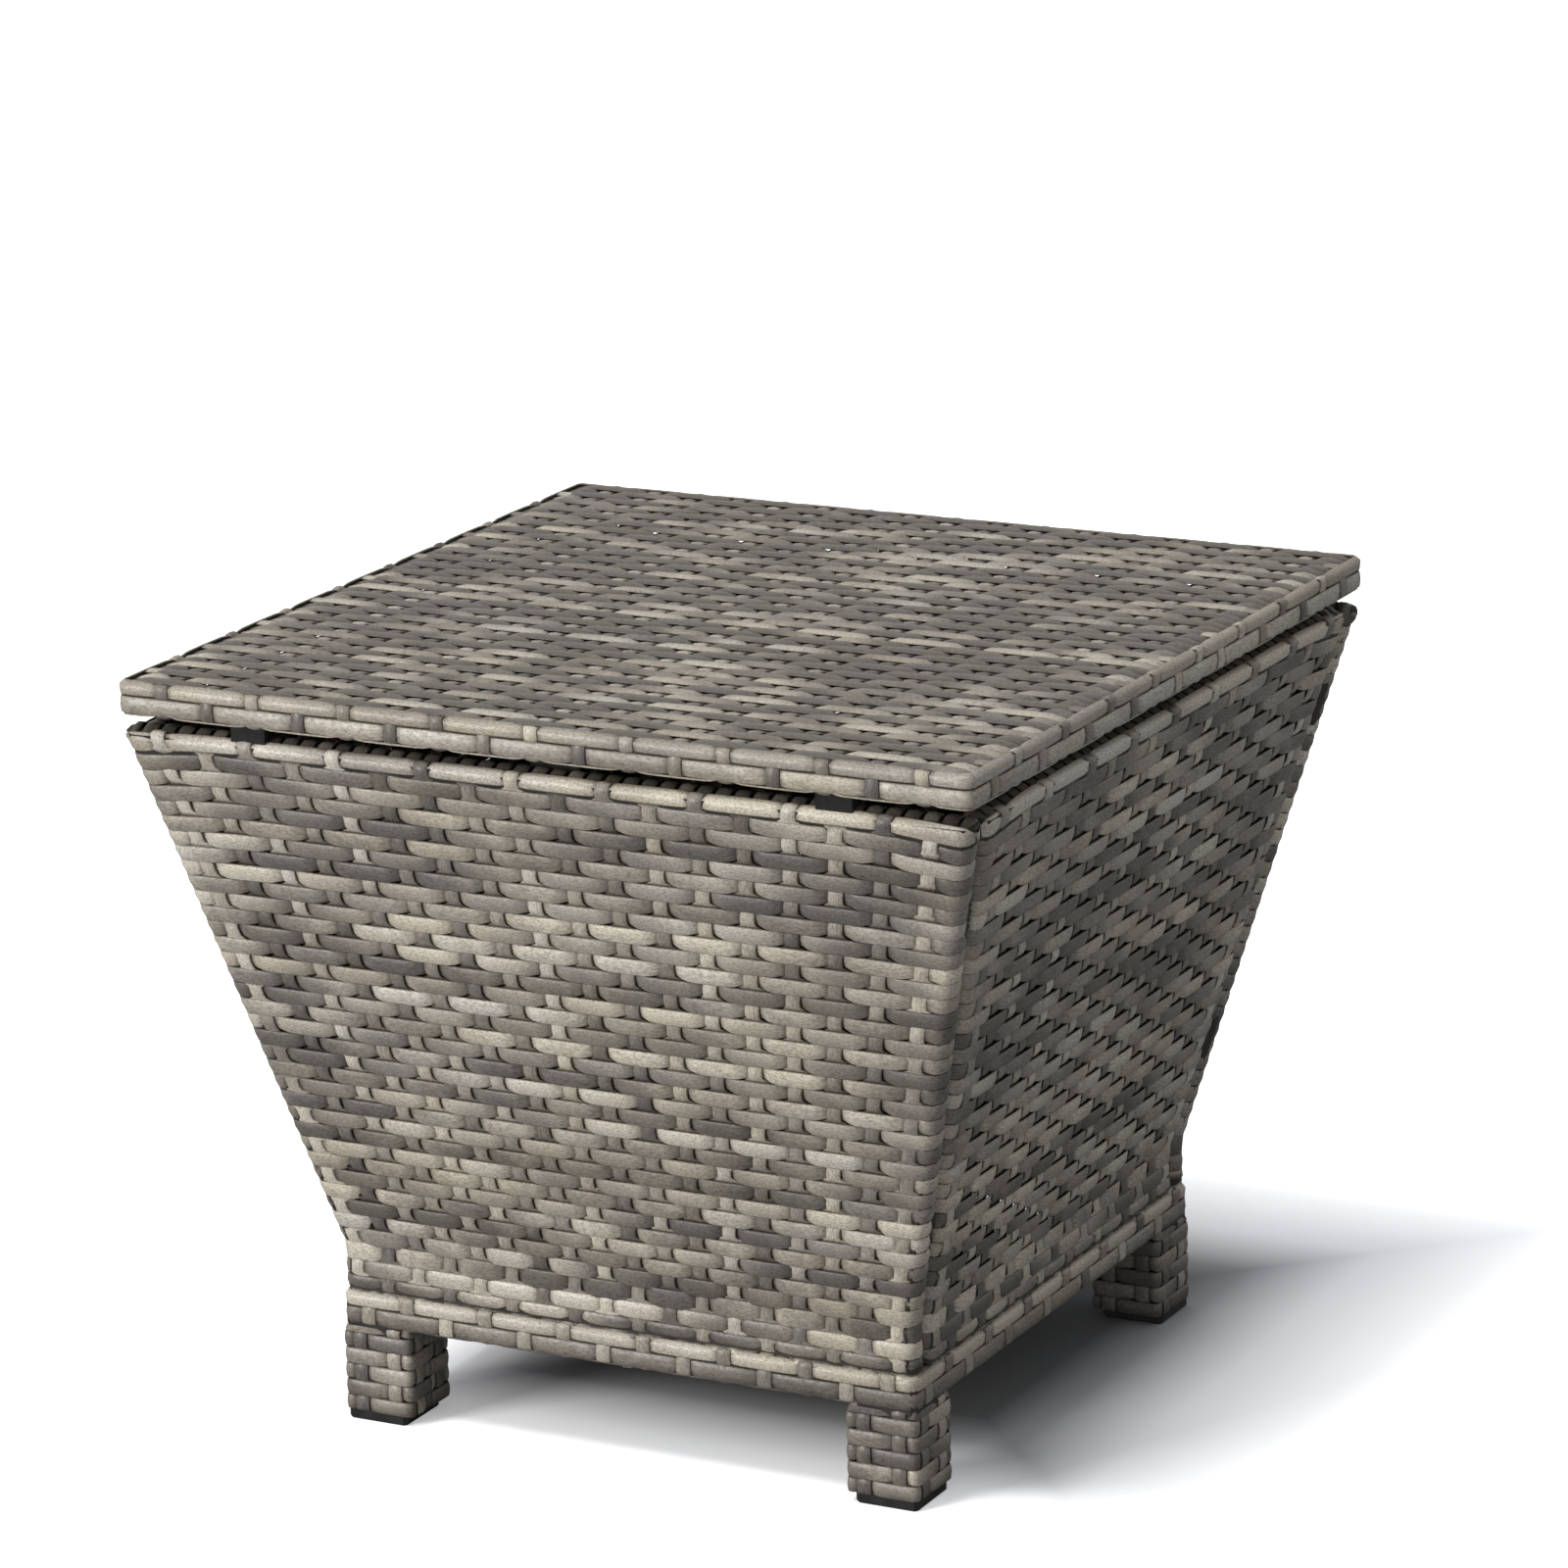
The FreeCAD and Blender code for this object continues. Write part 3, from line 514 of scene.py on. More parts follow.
# %% Sizes of a panel
PANEL_FOOT = 86.8 * MM  # height of the panels' lower edge
BEND = 29.2 * MM  # from there up to where the panel starts to lean
LEAN_RISE = 350 * MM
LEAN = math.atan((583 - 406) * MM / 2 / LEAN_RISE)
OVER_RAIL = 1.3 * MM
PANEL_LENGTH = BEND + LEAN_RISE / math.cos(LEAN) + OVER_RAIL
FOOT_HALF = 203 * MM
SIDE_SET_BACK = 20.7 * MM  # the side panels stand between the front and the back ones
RAIL_ROLL = 5 * MM
RAIL_DEPTH = 19.2 * MM
TUBE_ROLL = 9.6 * MM
SLOT_SHARES = (0.19, 0.81)  # of the leaning part, where the corner ears are
SLOT_SINK = 4.5 * MM
OVER_TUBE = (19 * MM, 34 * MM)  # from an edge: where the weave starts to deepen, and is deep
ROWS_TURNED_IN = 3  # wound out of sight round the bottom rail
WINDING_PITCH = 12.4 * MM
PANEL_SIZES = {
    "Foot half width": FOOT_HALF, "Uprights": 18.0, "Rows": 36.0, "Turn": 0.0,
    "Slot from": 1.5, "Seed": 0.0,
}


def leaning(t):
    """How much of a distance up the face lies above the bend."""
    return (t - BEND).math("MAXIMUM", 0.0)


def half_width(size, t):
    """Half the panel's width so far up its face."""
    return leaning(t) * math.sin(LEAN) + size["Foot half width"]


def panel_spot(size, u, b, out, slot_sink=0.0):
    """The front panel's point at u, b and out, bent over its edges and sunk in at the slots."""
    t = b.clamp(0.0, PANEL_LENGTH)
    half = half_width(size, t)
    edge_angle = ((u.math("ABSOLUTE") - half + TUBE_ROLL) / TUBE_ROLL).clamp(0.0, math.pi)
    for share in SLOT_SHARES:
        place = BEND + share * (PANEL_LENGTH - BEND)
        away = (t - place).math("ABSOLUTE").ease(9 * MM, 13 * MM)
        in_seam = edge_angle.math("SUBTRACT", size["Slot from"]).ease(0.0, 0.6)
        out = out - (away * -1.0 + 1.0) * in_seam * slot_sink
    x, depth = rolled(u, half - TUBE_ROLL, TUBE_ROLL, 0.0, out)
    middle = PANEL_LENGTH / 2
    up, depth = rolled(b - middle, middle - RAIL_ROLL, RAIL_ROLL, RAIL_DEPTH - 2 * RAIL_ROLL, depth)
    t = up + middle
    lean = leaning(t)
    tilt = (t - BEND).ease(-8 * MM, 8 * MM) * LEAN
    y = -(lean * math.sin(LEAN) + FOOT_HALF + depth * tilt.cosine())
    z = t.math("MINIMUM", BEND) + lean * math.cos(LEAN) + PANEL_FOOT - depth * tilt.sine()
    return x, y, z


# %% Build the panel's tree
def panel_tree():
    tree, size = new_tree("panel_weave", PANEL_SIZES)
    uprights = size["Uprights"]
    last = (uprights - 1.0) / 2.0
    pitch = size["Rows"].math("POWER", -1.0) * PANEL_LENGTH

    def spacing(t):
        """Distance between uprights, which fan out above the bend, and half the panel's width."""
        half = half_width(size, t)
        margin = t / PANEL_LENGTH * (16 * MM) + 11 * MM
        return (half - margin) / last, half

    def swing(u, b, half):
        """The weave is deep in the open middle and shallow where a tube lies right behind it."""
        from_end = (b - PANEL_LENGTH / 2).math("ABSOLUTE") * -1.0 + PANEL_LENGTH / 2
        from_side = half - u.math("ABSOLUTE")
        openness = from_side.ease(*OVER_TUBE) * from_end.ease(*OVER_TUBE)
        return openness * (DEEP - SHALLOW) + SHALLOW

    def row(number, along, across, out):
        """A strand from side to side. The top one is wider and sags a little at the corners."""
        r = number - float(ROWS_TURNED_IN)
        b = (r + 0.5) * pitch
        top = (r + 0.5 - size["Rows"]).ease(-1.01, -0.99)
        step, half = spacing(b.clamp(0.0, PANEL_LENGTH))
        over_tubes = (r + 0.5).ease(0.0, 0.01) * (24 * MM)
        u = (along * 2.0 - 1.0) * (half + over_tubes - 6 * MM)
        phase = (u / step).clamp(-last - 0.5, last + 0.5) + last + r
        at_bend = 1.0 - (b - 32 * MM).math("ABSOLUTE").ease(4 * MM, 18 * MM)
        width = top * (2.2 * MM) + at_bend * (0.9 * MM) + STRAND_WIDTH / 2
        corner = (u.math("ABSOLUTE") - half).ease(-95 * MM, 0.0)
        sag = corner * corner * (b / PANEL_LENGTH).ease(0.62, 1.0) * (5.5 * MM)
        loose = (b / PANEL_LENGTH).ease(0.0, 0.6) * 0.75 + 0.3
        pushed = beside_dive(phase, step, across) * (1.0 - top) * loose
        b = b + pushed + top * (4.0 * MM) - sag
        height = float_height(phase, step)
        stand = lying(height, out, swing(u, b, half) - top * (0.25 * MM))
        spot = panel_spot(size, u, b + across * width, stand, SLOT_SINK)
        tone = dyed(tree, u, number, 150 * MM, 0.5, 0.62, size["Seed"])
        tone = tone + top * (corner * -0.35 + 0.3)
        return spot, on_strand(u, across, number), tone, height

    def upright(number, along, across, out):
        """A strand from under the bottom rail up over the top one."""
        below, beyond = 36 * MM, 9 * MM
        b = along * (PANEL_LENGTH + below + beyond) - below
        on_face = b.clamp(0.0, PANEL_LENGTH)
        step, half = spacing(on_face)
        r = (b / pitch - 0.5).math("MINIMUM", size["Rows"] - 1.0)
        height = tie_height(number + r)
        tucked = (b - PANEL_LENGTH).ease(5 * MM, 8 * MM)
        u = (number - last) * step
        stand = low_tie(height, out, swing(u, b, half)) - tucked * (2.6 * MM)
        low = 1.0 - (b / PANEL_LENGTH).ease(0.3, 0.5)
        hidden = low * (-height).ease(0.05, 0.5) * (6.2 * MM)
        width = on_face / PANEL_LENGTH * (0.5 * MM) + 4.8 * MM
        width = width + spread(height - low * 0.3) + hidden
        spot = panel_spot(size, u - across * width, b, stand)
        tone = dyed(tree, b, number + 91.0, 110 * MM, 0.48, 0.6, size["Seed"])
        return spot, on_strand(b, across, number, 40.0), tone, height

    top_half = size["Foot half width"] + (PANEL_LENGTH - BEND) * math.sin(LEAN)
    windings = (top_half * 2.0 / WINDING_PITCH).math("FLOOR")

    def winding(number, along, across, out):
        """Extra strand over the top rail, hidden behind the top row at its front end."""
        b = along * (40 * MM) + (PANEL_LENGTH - 9 * MM)
        u = ((number + 0.5) / windings * 2.0 - 1.0) * top_half - across * (5.3 * MM)
        under = 1.0 - (b - PANEL_LENGTH).ease(5 * MM, 10 * MM)
        stand = (out - 1.0) * (STRAND_THICK / 2) - under * (1.5 * MM) - 0.2 * MM
        # Painted shade: the fixed height of -0.5 darkens the winding, which lies in the lid's
        # shadow. Its dark tone is partly its dye and partly painted shade.
        tone = dyed(tree, b, number + 200.0, 400 * MM, 0.12, 0.5, size["Seed"])
        return panel_spot(size, u, b, stand), on_strand(b, across, number, 80.0), tone, -0.5

    close_tree(tree, [
        strands(tree, size["Rows"] + float(ROWS_TURNED_IN), uprights * 7.0 + 20.0, row),
        strands(tree, uprights, size["Rows"] * 4.0 + 24.0, upright),
        strands(tree, windings, 16, winding),
    ], size["Turn"])
    return tree


# %% Turn a tree into plain meshes
def make_piece(name, tree, body, nodes, **sizes):
    """Runs the tree on an empty mesh, keeps the result and stands it in for the CAD nodes."""
    seed = bpy.data.objects.new(name + "_seed", bpy.data.meshes.new(name + "_seed"))
    scene.collection.objects.link(seed)
    modifier = seed.modifiers.new("weave", "NODES")
    modifier.node_group = tree
    sockets = {item.name: item.identifier
               for item in tree.interface.items_tree if item.in_out == "INPUT"}
    for label, value in sizes.items():
        modifier[sockets[label.replace("_", " ")]] = value
    evaluated = seed.evaluated_get(bpy.context.evaluated_depsgraph_get())
    mesh = bpy.data.meshes.new_from_object(evaluated)
    bpy.data.objects.remove(seed)
    mesh.name = name
    piece = bpy.data.objects.new(name, mesh)
    scene.collection.objects.link(piece)
    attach(piece, body)
    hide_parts(*nodes)
    low = [min(vertex.co[axis] for vertex in mesh.vertices) for axis in range(3)]
    high = [max(vertex.co[axis] for vertex in mesh.vertices) for axis in range(3)]
    print(name, len(mesh.loop_triangles) or len(mesh.polygons), "faces",
          [round(value, 4) for value in low + high])
    return piece


# %% Make the four panels
SIDES = ("front", "right", "back", "left")
panel = panel_tree()
for turn, side in enumerate(SIDES):
    between = turn % 2  # 1 for the two side panels, which stand between the front and the back
    make_piece(side + "_panel_strands", panel, "body", [side + "_panel_weave"],
               Foot_half_width=FOOT_HALF - between * SIDE_SET_BACK, Uprights=18.0 - between,
               Turn=turn * math.pi / 2, Slot_from=1.1 if between else 1.5, Seed=turn * 31.0)

# %% [markdown]
# ## The lid
# The lid's top has rows from side to side over seventeen strands from front to back. Three rows run
# right round its edge: a wide one rolled over the rim, a flat one below it and one turned in under
# the lid. Short pieces of the cross strands show over each of them in turn.

# %% Sizes of the lid
LID_SIZES = {"Half": 292 * MM, "Top": 500 * MM, "Cross strands": 17.0, "Rows": 53.0}
RIM_RADIUS = 4 * MM
RIM_BACK = 16.0 * MM
RIM_CORNER = 7 * MM
RIM_PITCH = 12.8 * MM
RIM_REACH = 8.6  # steps either side of a side's middle, past which a rim row lies as it ends
FIRST_DOWN = 5.8 * MM  # from the lid's top, along the rim, to its first row's middle
LID_STEP = 32.4 * MM
LID_SWING = 1.9 * MM
CROSS_HALF = 4.9 * MM
WRAP_FROM, WRAP_LENGTH = 18 * MM, 64 * MM  # inwards of the rim, and in all


# %% Build the lid's tree
def round_square(path, half, corner, stand):
    """A point so far round a square ring with rounded corners, seen from above."""
    flat = half - corner
    x, depth = rolled(path, flat, corner, flat * 2.0, stand)
    return x, -(depth + half)


def quarter_round(half, corner):
    """A quarter of the way round such a ring."""
    return half * 2.0 - corner * (2 - math.pi / 2)


def lid_tree():
    tree, size = new_tree("lid_weave", LID_SIZES)
    flat = size["Half"] - RIM_RADIUS
    pitch = flat * 2.0 / size["Rows"]
    last = (size["Cross strands"] - 1.0) / 2.0

    def row(number, along, across, out):
        x = (along * 2.0 - 1.0) * (flat - 1 * MM)
        phase = x / LID_STEP + last + number
        end = x.math("ABSOLUTE").ease(277 * MM, 287 * MM)
        height = float_height(phase, LID_STEP) * (1.0 - end)
        stand = lying(height, out, LID_SWING) - end * (1.0 * MM)
        pushed = beside_dive(phase, LID_STEP, across) * (1.0 - end) * 0.7
        y = (number + 0.5) * pitch - flat + pushed + across * (STRAND_WIDTH / 2)
        last_row = (size["Rows"] - 1.0) / 2.0
        outer = (number - last_row).math("ABSOLUTE") - last_row
        tone = dyed(tree, x, number, 120 * MM, 0.14, 0.95, 3.0) - outer.ease(-0.6, -0.4) * 0.12
        return (x, y, stand + size["Top"]), on_strand(x, across, number), tone, height

    def cross(number, along, across, out):
        """A strand from front to back, over the top and down over both edges."""
        path = (along * 2.0 - 1.0) * (flat + 46 * MM)
        past = path.math("ABSOLUTE") - flat
        beyond = past.ease(-1 * MM, 0.0)
        on_edge = (past - FIRST_DOWN) / RIM_PITCH + 1.0
        on_top = past / pitch + 0.5
        height = tie_height(number + on_top + (on_edge - on_top) * beyond)
        stand = low_tie(height, out, beyond * (SHALLOW - LID_SWING) + LID_SWING)
        y, depth = rolled(path, flat, RIM_RADIUS, RIM_BACK, stand)
        width = spread(height) * (1.0 - beyond) * 1.5 + CROSS_HALF
        spot = ((number - last) * LID_STEP - across * width, y, depth + size["Top"])
        lower = on_edge.ease(1.4, 1.6)
        tone = dyed(tree, path, number + 60.0, 110 * MM, 0.42, 0.6, 5.0) - lower * 0.3
        return spot, on_strand(path, across, number, 30.0), tone, height

    def over_rim(down, stand):
        """Reach and drop of a point so far down over the rim."""
        return rolled(down + flat, flat, RIM_RADIUS, RIM_BACK, stand)

    def rim_row(number, along, across, out):
        quarter = quarter_round(size["Half"], RIM_CORNER)
        path = (along * 2.0 - 1.0) * (quarter * 2.0)
        side = (path / quarter).math("ROUND")
        place = ((path - side * quarter) / LID_STEP).clamp(-RIM_REACH, RIM_REACH)
        height = float_height(place + last + side + number + 1.0, LID_STEP)
        upper = number.math("COMPARE", 0.0, 0.1)
        wide = upper * (1.3 * MM) + 11.9 * MM
        down = number * RIM_PITCH + FIRST_DOWN - across * wide / 2.0
        reach, drop = over_rim(down, lying(height, out, SHALLOW))
        x, y = round_square(path, size["Half"], RIM_CORNER, reach - size["Half"])
        tone = dyed(tree, path, number + 120.0, 260 * MM, 0.84, 0.3, 9.0) - upper * 0.18
        return (x, y, drop + size["Top"]), on_strand(path, across, number, 60.0), tone, height

    def side_wrap(number, along, across, out):
        """Short strands over the right and left edges, tucked in under the lid's top rows."""
        count = size["Cross strands"]
        left = number.math("GREATER_THAN", count - 0.5)
        flip = left * -2.0 + 1.0
        k = number - left * count
        down = along * WRAP_LENGTH - WRAP_FROM
        height = tie_height(k + (down - FIRST_DOWN) / RIM_PITCH)
        tucked = (down * -1.0).ease(-1 * MM, 5 * MM)
        reach, drop = over_rim(down, lying(height, out, SHALLOW) - tucked * (0.8 * MM))
        y = ((k - last) * LID_STEP + across * CROSS_HALF) * flip
        tone = dyed(tree, down, number + 140.0, 300 * MM, 0.6, 0.6, 4.0)
        spot = (reach * flip, y, drop + size["Top"])
        return spot, on_strand(down, across, number, 70.0), tone, height

    close_tree(tree, [
        strands(tree, size["Rows"], size["Cross strands"] * 5.5 + 7.0, row),
        strands(tree, size["Cross strands"], size["Rows"] * 3.0 + 40.0, cross),
        strands(tree, 3, 560, rim_row),
        strands(tree, size["Cross strands"] * 2.0, 36, side_wrap),
    ])
    return tree


make_piece("lid_strands", lid_tree(), "lid", ["lid_top_weave", "lid_edge_weave"])

# %% [markdown]
# ## Base rails and legs
# The base is a ring of square tube, wound like the lid's edge: rows run round the ring and short
# cross pieces tie them. Each leg has rows round it and eight uprights, two on a side.

# %% Build the base ring's tree
BASE_SIZES = {"Half": 204 * MM, "Middle height": 75.7 * MM}
RAIL_FLAT = 8.6 * MM
RAIL_CORNER = 3.4 * MM
RAIL_ROWS = 7
RAIL_PITCH = (8 * RAIL_FLAT + 2 * math.pi * RAIL_CORNER) / RAIL_ROWS
LOWER_ROW = -5.3 * MM
RING_CORNER = 9 * MM
BASE_STEP = 28.3 * MM
BASE_TIES = 14.0  # on a side
TOP_WINDINGS = 34  # on a side


def base_tree():
    tree, size = new_tree("base_weave", BASE_SIZES)

    def round_section(round_rail, stand):
        """Height and reach of a point so far round the rail's section from its face's middle."""
        drop, reach = rolled(round_rail, RAIL_FLAT, RAIL_CORNER, RAIL_FLAT * 2, stand)
        return drop + size["Middle height"], reach

    def ring_row(number, along, across, out):
        quarter = quarter_round(size["Half"], RING_CORNER)
        path = (along * 2.0 - 1.0) * (quarter * 2.0)
        side = (path / quarter).math("ROUND")
        place = ((path - side * quarter) / BASE_STEP).clamp(-BASE_TIES / 2, BASE_TIES / 2)
        height = float_height(place + 0.5 + number, BASE_STEP)
        middle = (number - 3.0) * RAIL_PITCH + LOWER_ROW
        round_rail = middle + across * (RAIL_PITCH / 2 - 0.1 * MM)
        z, reach = round_section(round_rail, lying(height, out, SHALLOW))
        x, y = round_square(path, size["Half"], RING_CORNER, reach)
        upper = number.math("COMPARE", 4.0, 0.1)
        tone = dyed(tree, path, number + 10.0, 300 * MM, 0.36, 0.3, 13.0) + upper * 0.4
        return (x, y, z), on_strand(path, across, number), tone, height

    def ring_wrap(number, along, across, out):
        """A strand right round the rail's section, which ties its rows."""
        side = (number / BASE_TIES).math("FLOOR")
        k = number - side * BASE_TIES
        round_rail = (along * 2.0 - 1.0) * (RAIL_PITCH * RAIL_ROWS / 2)
        height = tie_height(k + ((round_rail - LOWER_ROW) / RAIL_PITCH + 3.0))
        z, reach = round_section(round_rail, lying(height, out, SHALLOW))
        x = (k - (BASE_TIES - 1) / 2) * BASE_STEP - across * (5.4 * MM)
        tone = dyed(tree, round_rail, number + 50.0, 400 * MM, 0.46, 0.4, 17.0)
        spot = turned(side, x, -(reach + size["Half"]), z)
        return spot, on_strand(round_rail, across, number, 20.0), tone, height

    def top_winding(number, along, across, out):
        """Strand wound close over the rail's top, whose ends peep out under the panels."""
        side = (number / float(TOP_WINDINGS)).math("FLOOR")
        k = number - side * float(TOP_WINDINGS)
        round_rail = along * (22 * MM) + 8.5 * MM
        lifted = (round_rail - 12.0 * MM).ease(0.0, 3 * MM) * (1.1 * MM)
        stand = (out - 1.0) * (STRAND_THICK / 2) - 1.3 * MM + lifted
        z, reach = round_section(round_rail, stand)
        x = (k - (TOP_WINDINGS - 1) / 2) * (11.7 * MM) - across * (5.3 * MM)
        tone = dyed(tree, round_rail, number + 150.0, 400 * MM, 0.6, 0.9, 19.0)
        spot = turned(side, x, -(reach + size["Half"]), z)
        return spot, on_strand(round_rail, across, number, 90.0), tone, 1.0

    close_tree(tree, [
        strands(tree, RAIL_ROWS, 560, ring_row),
        strands(tree, int(BASE_TIES * 4), 64, ring_wrap),
        strands(tree, TOP_WINDINGS * 4, 10, top_winding),
    ])
    return tree


make_piece("base_ring_strands", base_tree(), "body", [side + "_base_rail_weave" for side in SIDES])

# %% Build the legs' tree
LEG_HALF = 25.5 * MM
LEG_SIZES = {"Half": LEG_HALF, "Centre": 178.8 * MM, "Foot height": 6.6 * MM}
LEG_HEIGHT = 77 * MM
LEG_PITCH = 10.7 * MM
LEG_CORNER = 5.5 * MM
LEG_SWING = 1.15 * MM
LEG_ROWS = 8.0
LEG_UPRIGHTS = 8.0


def leg_tree():
    tree, size = new_tree("leg_weave", LEG_SIZES)
    quarter = quarter_round(LEG_HALF, LEG_CORNER)
    step = quarter / 2

    def leg_place(corner, path, up, stand):
        """A point so far round a leg and so far up it. The rows behind the base ring lie deeper."""
        sunk = up.ease(56 * MM, 58 * MM) * (2.6 * MM)
        x, y = round_square(path, size["Half"], LEG_CORNER, stand - sunk)
        return turned(corner, x + size["Centre"], y - size["Centre"], up + size["Foot height"])

    def leg_row(number, along, across, out):
        corner = (number / LEG_ROWS).math("FLOOR")
        row = number - corner * LEG_ROWS
        path = (along * 2.0 - 1.0) * (quarter * 2)
        phase = path / step + 3.5 + row
        pushed = beside_dive(phase, step, across) * 0.6
        up = (row + 0.42) * LEG_PITCH + pushed + across * (5.5 * MM)
        up = up.clamp(0.3 * MM, LEG_HEIGHT + 0.5 * MM)
        height = float_height(phase, step)
        spot = leg_place(corner, path, up, lying(height, out, LEG_SWING))
        tone = dyed(tree, path, number, 90 * MM, 0.2, 0.5, 23.0)
        return spot, on_strand(path, across, number), tone, height

    def leg_upright(number, along, across, out):
        corner = (number / LEG_UPRIGHTS).math("FLOOR")
        k = number - corner * LEG_UPRIGHTS
        up = along * LEG_HEIGHT + 0.3 * MM
        height = tie_height(k + up / LEG_PITCH - 0.42)
        path = (k - (LEG_UPRIGHTS - 1) / 2) * step - across * (5.2 * MM)
        spot = leg_place(corner, path, up, lying(height, out, LEG_SWING))
        tone = dyed(tree, up, number + 60.0, 100 * MM, 0.26, 0.5, 29.0)
        return spot, on_strand(up, across, number, 20.0), tone, height

    close_tree(tree, [
        strands(tree, int(LEG_ROWS * 4), 84, leg_row),
        strands(tree, int(LEG_UPRIGHTS * 4), 36, leg_upright),
    ])
    return tree


CORNERS = ("front_right", "back_right", "back_left", "front_left")
make_piece("leg_strands", leg_tree(), "body", [corner + "_leg_weave" for corner in CORNERS])

# %% [markdown]
# ## Frame, fixings and feet
# Behind the weave are the parts that carry it. The tubes are steel with a dark powder coat, which
# has a faint orange-peel skin. The ears at the corners are blackened steel. Bolts and nuts are
# bright zinc that has dulled in patches, the feet are black moulded plastic, and the pads are
# rubber. All keep their CAD shape, and one helper with other numbers gives each its finish.

# %% Finishes for the CAD parts
def finish(name, dark, light, smooth, rough, speck, patch, bump, metallic=0.0):
    """A mottled surface: two colours, two roughnesses, its marks' sizes and how deep they are."""
    material, tree, shader = new_material(name)
    marks = tree.nodes.new("ShaderNodeGroup")
    marks.node_tree = grain
    marks.inputs["Speck size"].default_value = speck * MM
    marks.inputs["Patch size"].default_value = patch * MM
    tree.links.new(tree.nodes.new("ShaderNodeTexCoord").outputs["Object"], marks.inputs["Place"])
    specks, patches = marks.outputs["Specks"], marks.outputs["Patches"]
    broad = shade_math(tree, "MULTIPLY", patches, 0.55)
    blend = shade_math(tree, "MULTIPLY_ADD", specks, 0.45, broad)
    colour = ramp(tree, blend, [(0.38, linear(*dark)), (0.62, linear(*light))])
    roughness = ramp(tree, patches, [(0.35, grey(smooth)), (0.65, grey(rough))])
    tree.links.new(colour, shader.inputs["Base Color"])
    tree.links.new(roughness, shader.inputs["Roughness"])
    shader.inputs["Metallic"].default_value = metallic
    bumped(tree, shader, specks, bump * MM)
    return material


powder_coat = finish("powder_coat", (40, 37, 34), (58, 54, 50), 0.42, 0.6, 0.7, 30, 0.05)
blackened = finish("blackened_steel", (34, 34, 35), (62, 60, 57), 0.35, 0.55, 1.5, 9, 0.04, 0.8)
zinc = finish("dull_zinc", (138, 138, 134), (186, 186, 180), 0.28, 0.5, 0.8, 5, 0.03, 1.0)
moulded = finish("moulded_plastic", (20, 20, 21), (40, 39, 38), 0.45, 0.65, 0.5, 14, 0.05)
rubber = finish("pad_rubber", (15, 15, 15), (30, 29, 28), 0.75, 0.9, 0.9, 8, 0.1)
FINISHES = {  # by the ending of a node's name
    "_tube": powder_coat, "_rail": powder_coat, "lid_frame": powder_coat,
    "lid_cross_tubes": powder_coat, "lid_locating_tabs": powder_coat, "_ears": blackened,
    "_bolts": zinc, "_nuts": zinc, "_foot_cap": moulded, "lid_rubber_pads": rubber,
}
dressed = 0
for node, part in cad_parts.items():
    for ending, material in FINISHES.items():
        if node.endswith(ending):
            for slot in part.material_slots:
                slot.material = material
            dressed += 1
print(dressed, "CAD parts have a finish")

# %% [markdown]
# ## Daylight, floor and camera
# The table stands on a plain white floor in even daylight from the upper left. The camera is where
# the photograph was taken from, about four metres away, looking a little down. Its place and its
# three angles were fitted to the edges of the lid and of the base.

# %% Camera
CAMERA_PLACE = Vector((1.9059, -3.5873, 1.5101))
CAMERA_YAW, CAMERA_PITCH, CAMERA_ROLL = -0.4848, 0.2694, -0.0253
FOCAL_SHARE = 6771.5 / 1600  # focal length over the picture's width
SENSOR_WIDTH = 36  # mm


def camera_axes(yaw, pitch, roll):
    """The camera's right, up and backward directions."""
    level = math.cos(pitch)
    ahead = Vector((math.sin(yaw) * level, math.cos(yaw) * level, -math.sin(pitch)))
    right = Vector((math.cos(yaw), -math.sin(yaw), 0))
    above = right.cross(ahead)
    rolled_right = right * math.cos(roll) + above * math.sin(roll)
    rolled_up = above * math.cos(roll) - right * math.sin(roll)
    return Matrix((rolled_right, rolled_up, -ahead)).transposed().to_4x4()


lens = bpy.data.cameras.new("camera")
lens.lens = FOCAL_SHARE * SENSOR_WIDTH
camera = bpy.data.objects.new("camera", lens)
axes = camera_axes(CAMERA_YAW, CAMERA_PITCH, CAMERA_ROLL)
camera.matrix_world = Matrix.Translation(CAMERA_PLACE) @ axes
scene.collection.objects.link(camera)
scene.camera = camera


# %% Lamps and white surroundings
def lamp(name, kind, power, size, place, target):
    """A lamp at place that shines on target; size is an angle for the sun and metres otherwise."""
    data = bpy.data.lights.new(name, kind)
    data.energy = power
    if kind == "SUN":
        data.angle = size
    else:
        data.size = size
    light = bpy.data.objects.new(name, data)
    aim = (Vector(target) - Vector(place)).to_track_quat("-Z", "Y")
    light.matrix_world = Matrix.Translation(place) @ aim.to_matrix().to_4x4()
    scene.collection.objects.link(light)


lamp("daylight", "SUN", 0.7, 0.2, (-0.9, -1.5, 4.2), (0, 0, 0.3))
lamp("front_softbox", "AREA", 72.0, 1.4, (-2.0, -3.2, 1.15), (0, 0, 0.25))

AMBIENT = [0.26, 0.27, 0.29, 1]
MIRRORED = [0.66, 0.64, 0.6, 1]


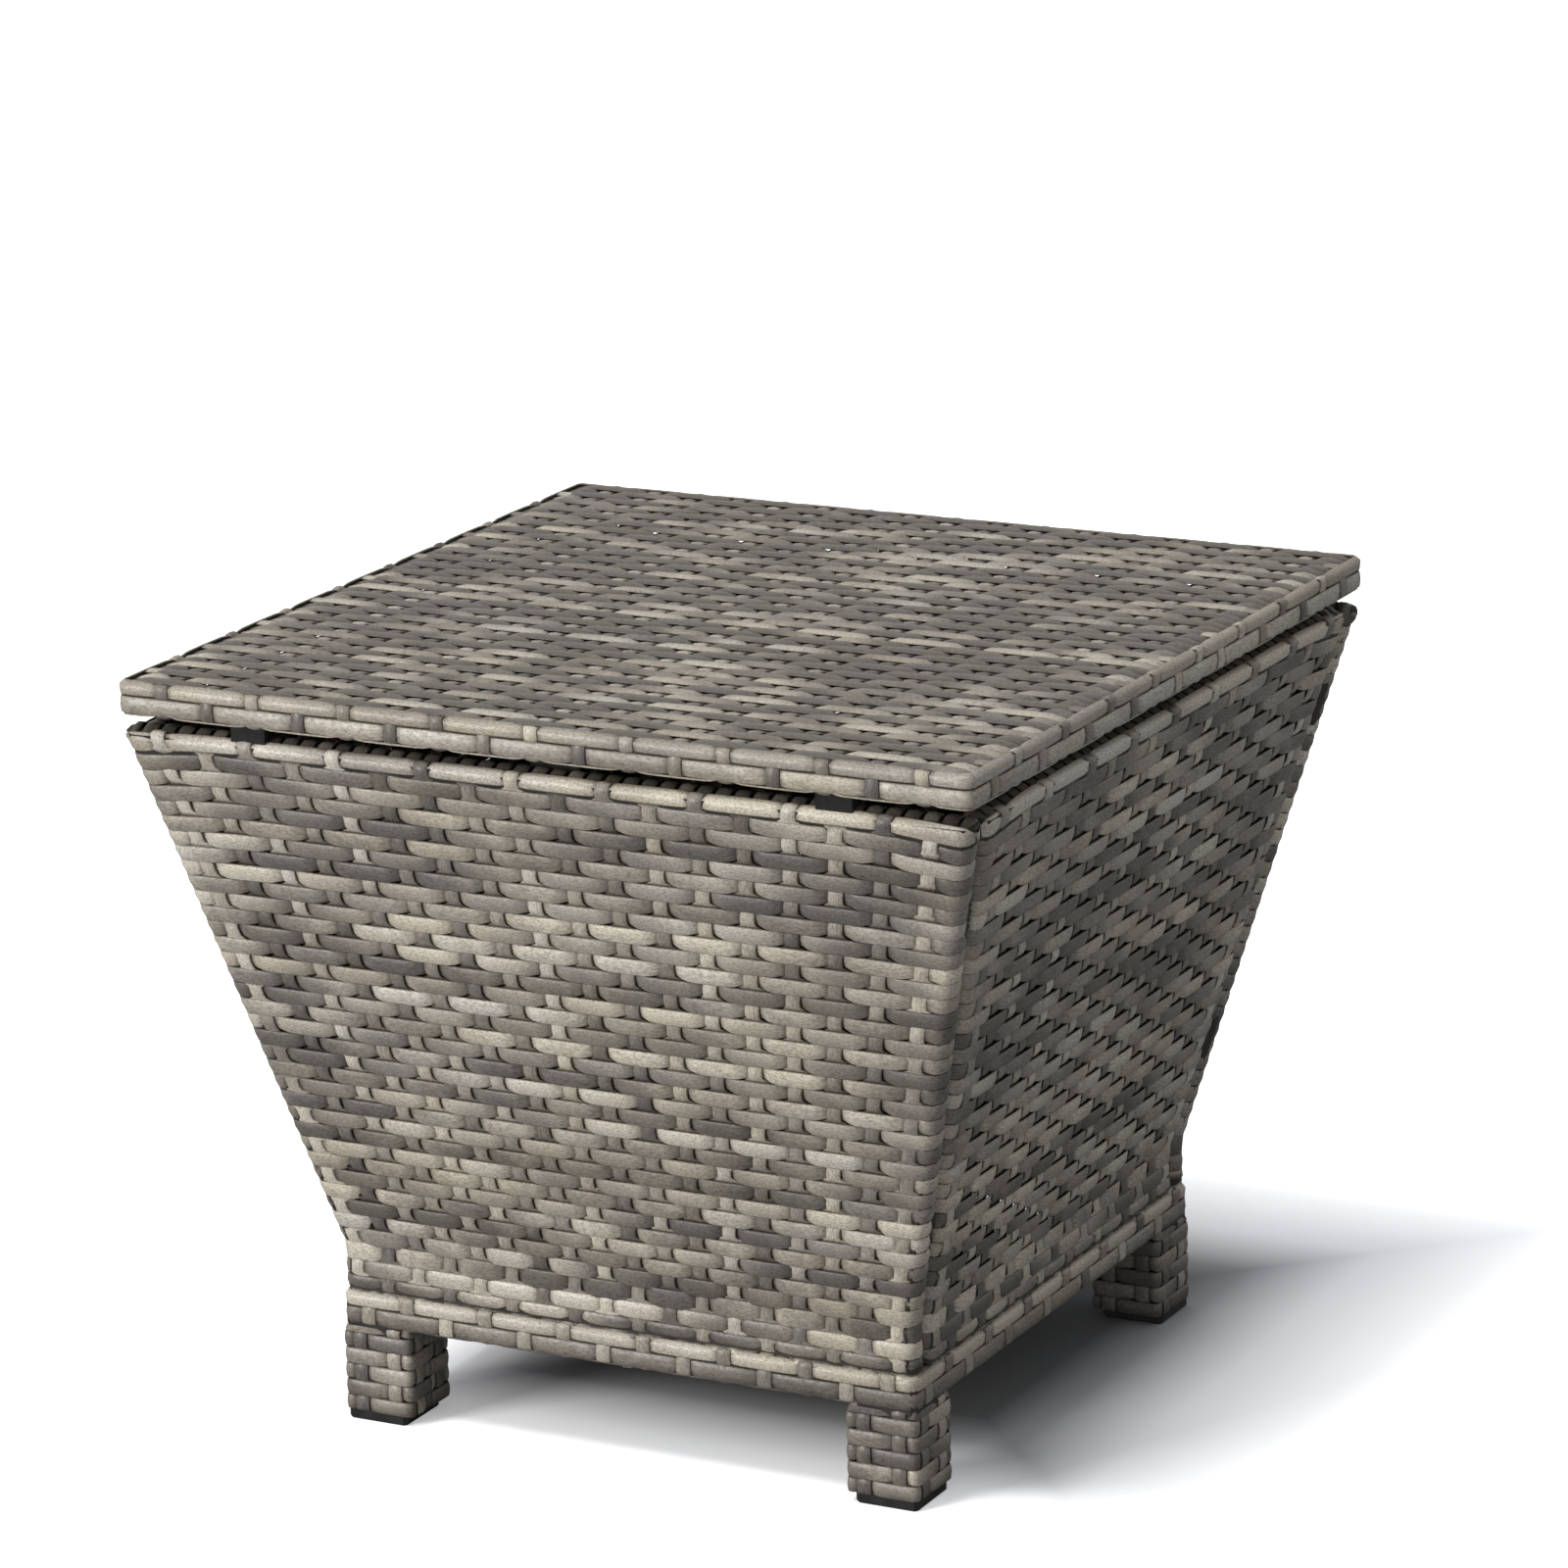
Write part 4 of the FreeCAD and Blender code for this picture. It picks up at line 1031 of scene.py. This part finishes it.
def white_world():
    """White to the camera, dimmer to a shiny surface and dim as a source of light."""
    world = bpy.data.worlds.new("surroundings")
    scene.world = world
    world.use_nodes = True
    tree = world.node_tree
    back = tree.nodes["Background"]
    rays = tree.nodes.new("ShaderNodeLightPath")
    camera_ray, through_ray = rays.outputs["Is Camera Ray"], rays.outputs["Is Transmission Ray"]
    seen = shade_math(tree, "MAXIMUM", camera_ray, through_ray)
    lit = mixed(tree, "MIX", rays.outputs["Is Glossy Ray"], AMBIENT, MIRRORED)
    tree.links.new(mixed(tree, "MIX", seen, lit, grey(1)), back.inputs["Color"])


white_world()

# %% Floor
FLOOR_HALF = 40  # metres
# The middle of the floor's painted shadow, a darker square set a little to the right and back.
PAINTED_SHADOW_MIDDLE = (("X", 0.03), ("Y", 0.10))  # of the floor's darker square, in metres


def pale_floor():
    """Matt, with a painted shadow under the table and a painted glow that whitens it farther out.
    """
    mesh = bpy.data.meshes.new("floor")
    far = FLOOR_HALF
    corners = [(-far, -far, 0), (far, -far, 0), (far, far, 0), (-far, far, 0)]
    mesh.from_pydata(corners, [], [(0, 1, 2, 3)])
    floor = bpy.data.objects.new("floor", mesh)
    scene.collection.objects.link(floor)
    material, tree, _ = new_material("floor")
    add = tree.nodes.new
    link = tree.links.new
    split = add("ShaderNodeSeparateXYZ")
    link(add("ShaderNodeTexCoord").outputs["Object"], split.inputs[0])
    sideways, backwards = (
        shade_math(tree, "ABSOLUTE", shade_math(tree, "SUBTRACT", split.outputs[axis], middle))
        for axis, middle in PAINTED_SHADOW_MIDDLE)
    reach = shade_math(tree, "MAXIMUM", sideways, backwards)
    # Painted shadow and light, for camera rays only: the floor is dark near the table and brighter
    # than white beyond it, and it glows farther out.
    painted_glow = ramp(tree, reach, [(0.18, grey(0)), (0.27, grey(0.3)), (0.4, grey(0.8))])
    painted_shadow_albedo = ramp(tree, reach, [(0.14, grey(0.3)), (0.25, grey(1.7))])
    rays = add("ShaderNodeLightPath").outputs["Is Camera Ray"]
    matt = add("ShaderNodeBsdfDiffuse")
    shine = add("ShaderNodeEmission")
    both = add("ShaderNodeAddShader")
    link(mixed(tree, "MIX", rays, grey(0.4), painted_shadow_albedo), matt.inputs["Color"])
    link(mixed(tree, "MIX", rays, grey(0), painted_glow), shine.inputs["Color"])
    link(matt.outputs[0], both.inputs[0])
    link(shine.outputs[0], both.inputs[1])
    link(both.outputs[0], tree.nodes["Material Output"].inputs["Surface"])
    mesh.materials.append(material)


pale_floor()
scene.view_settings.view_transform = "Standard"
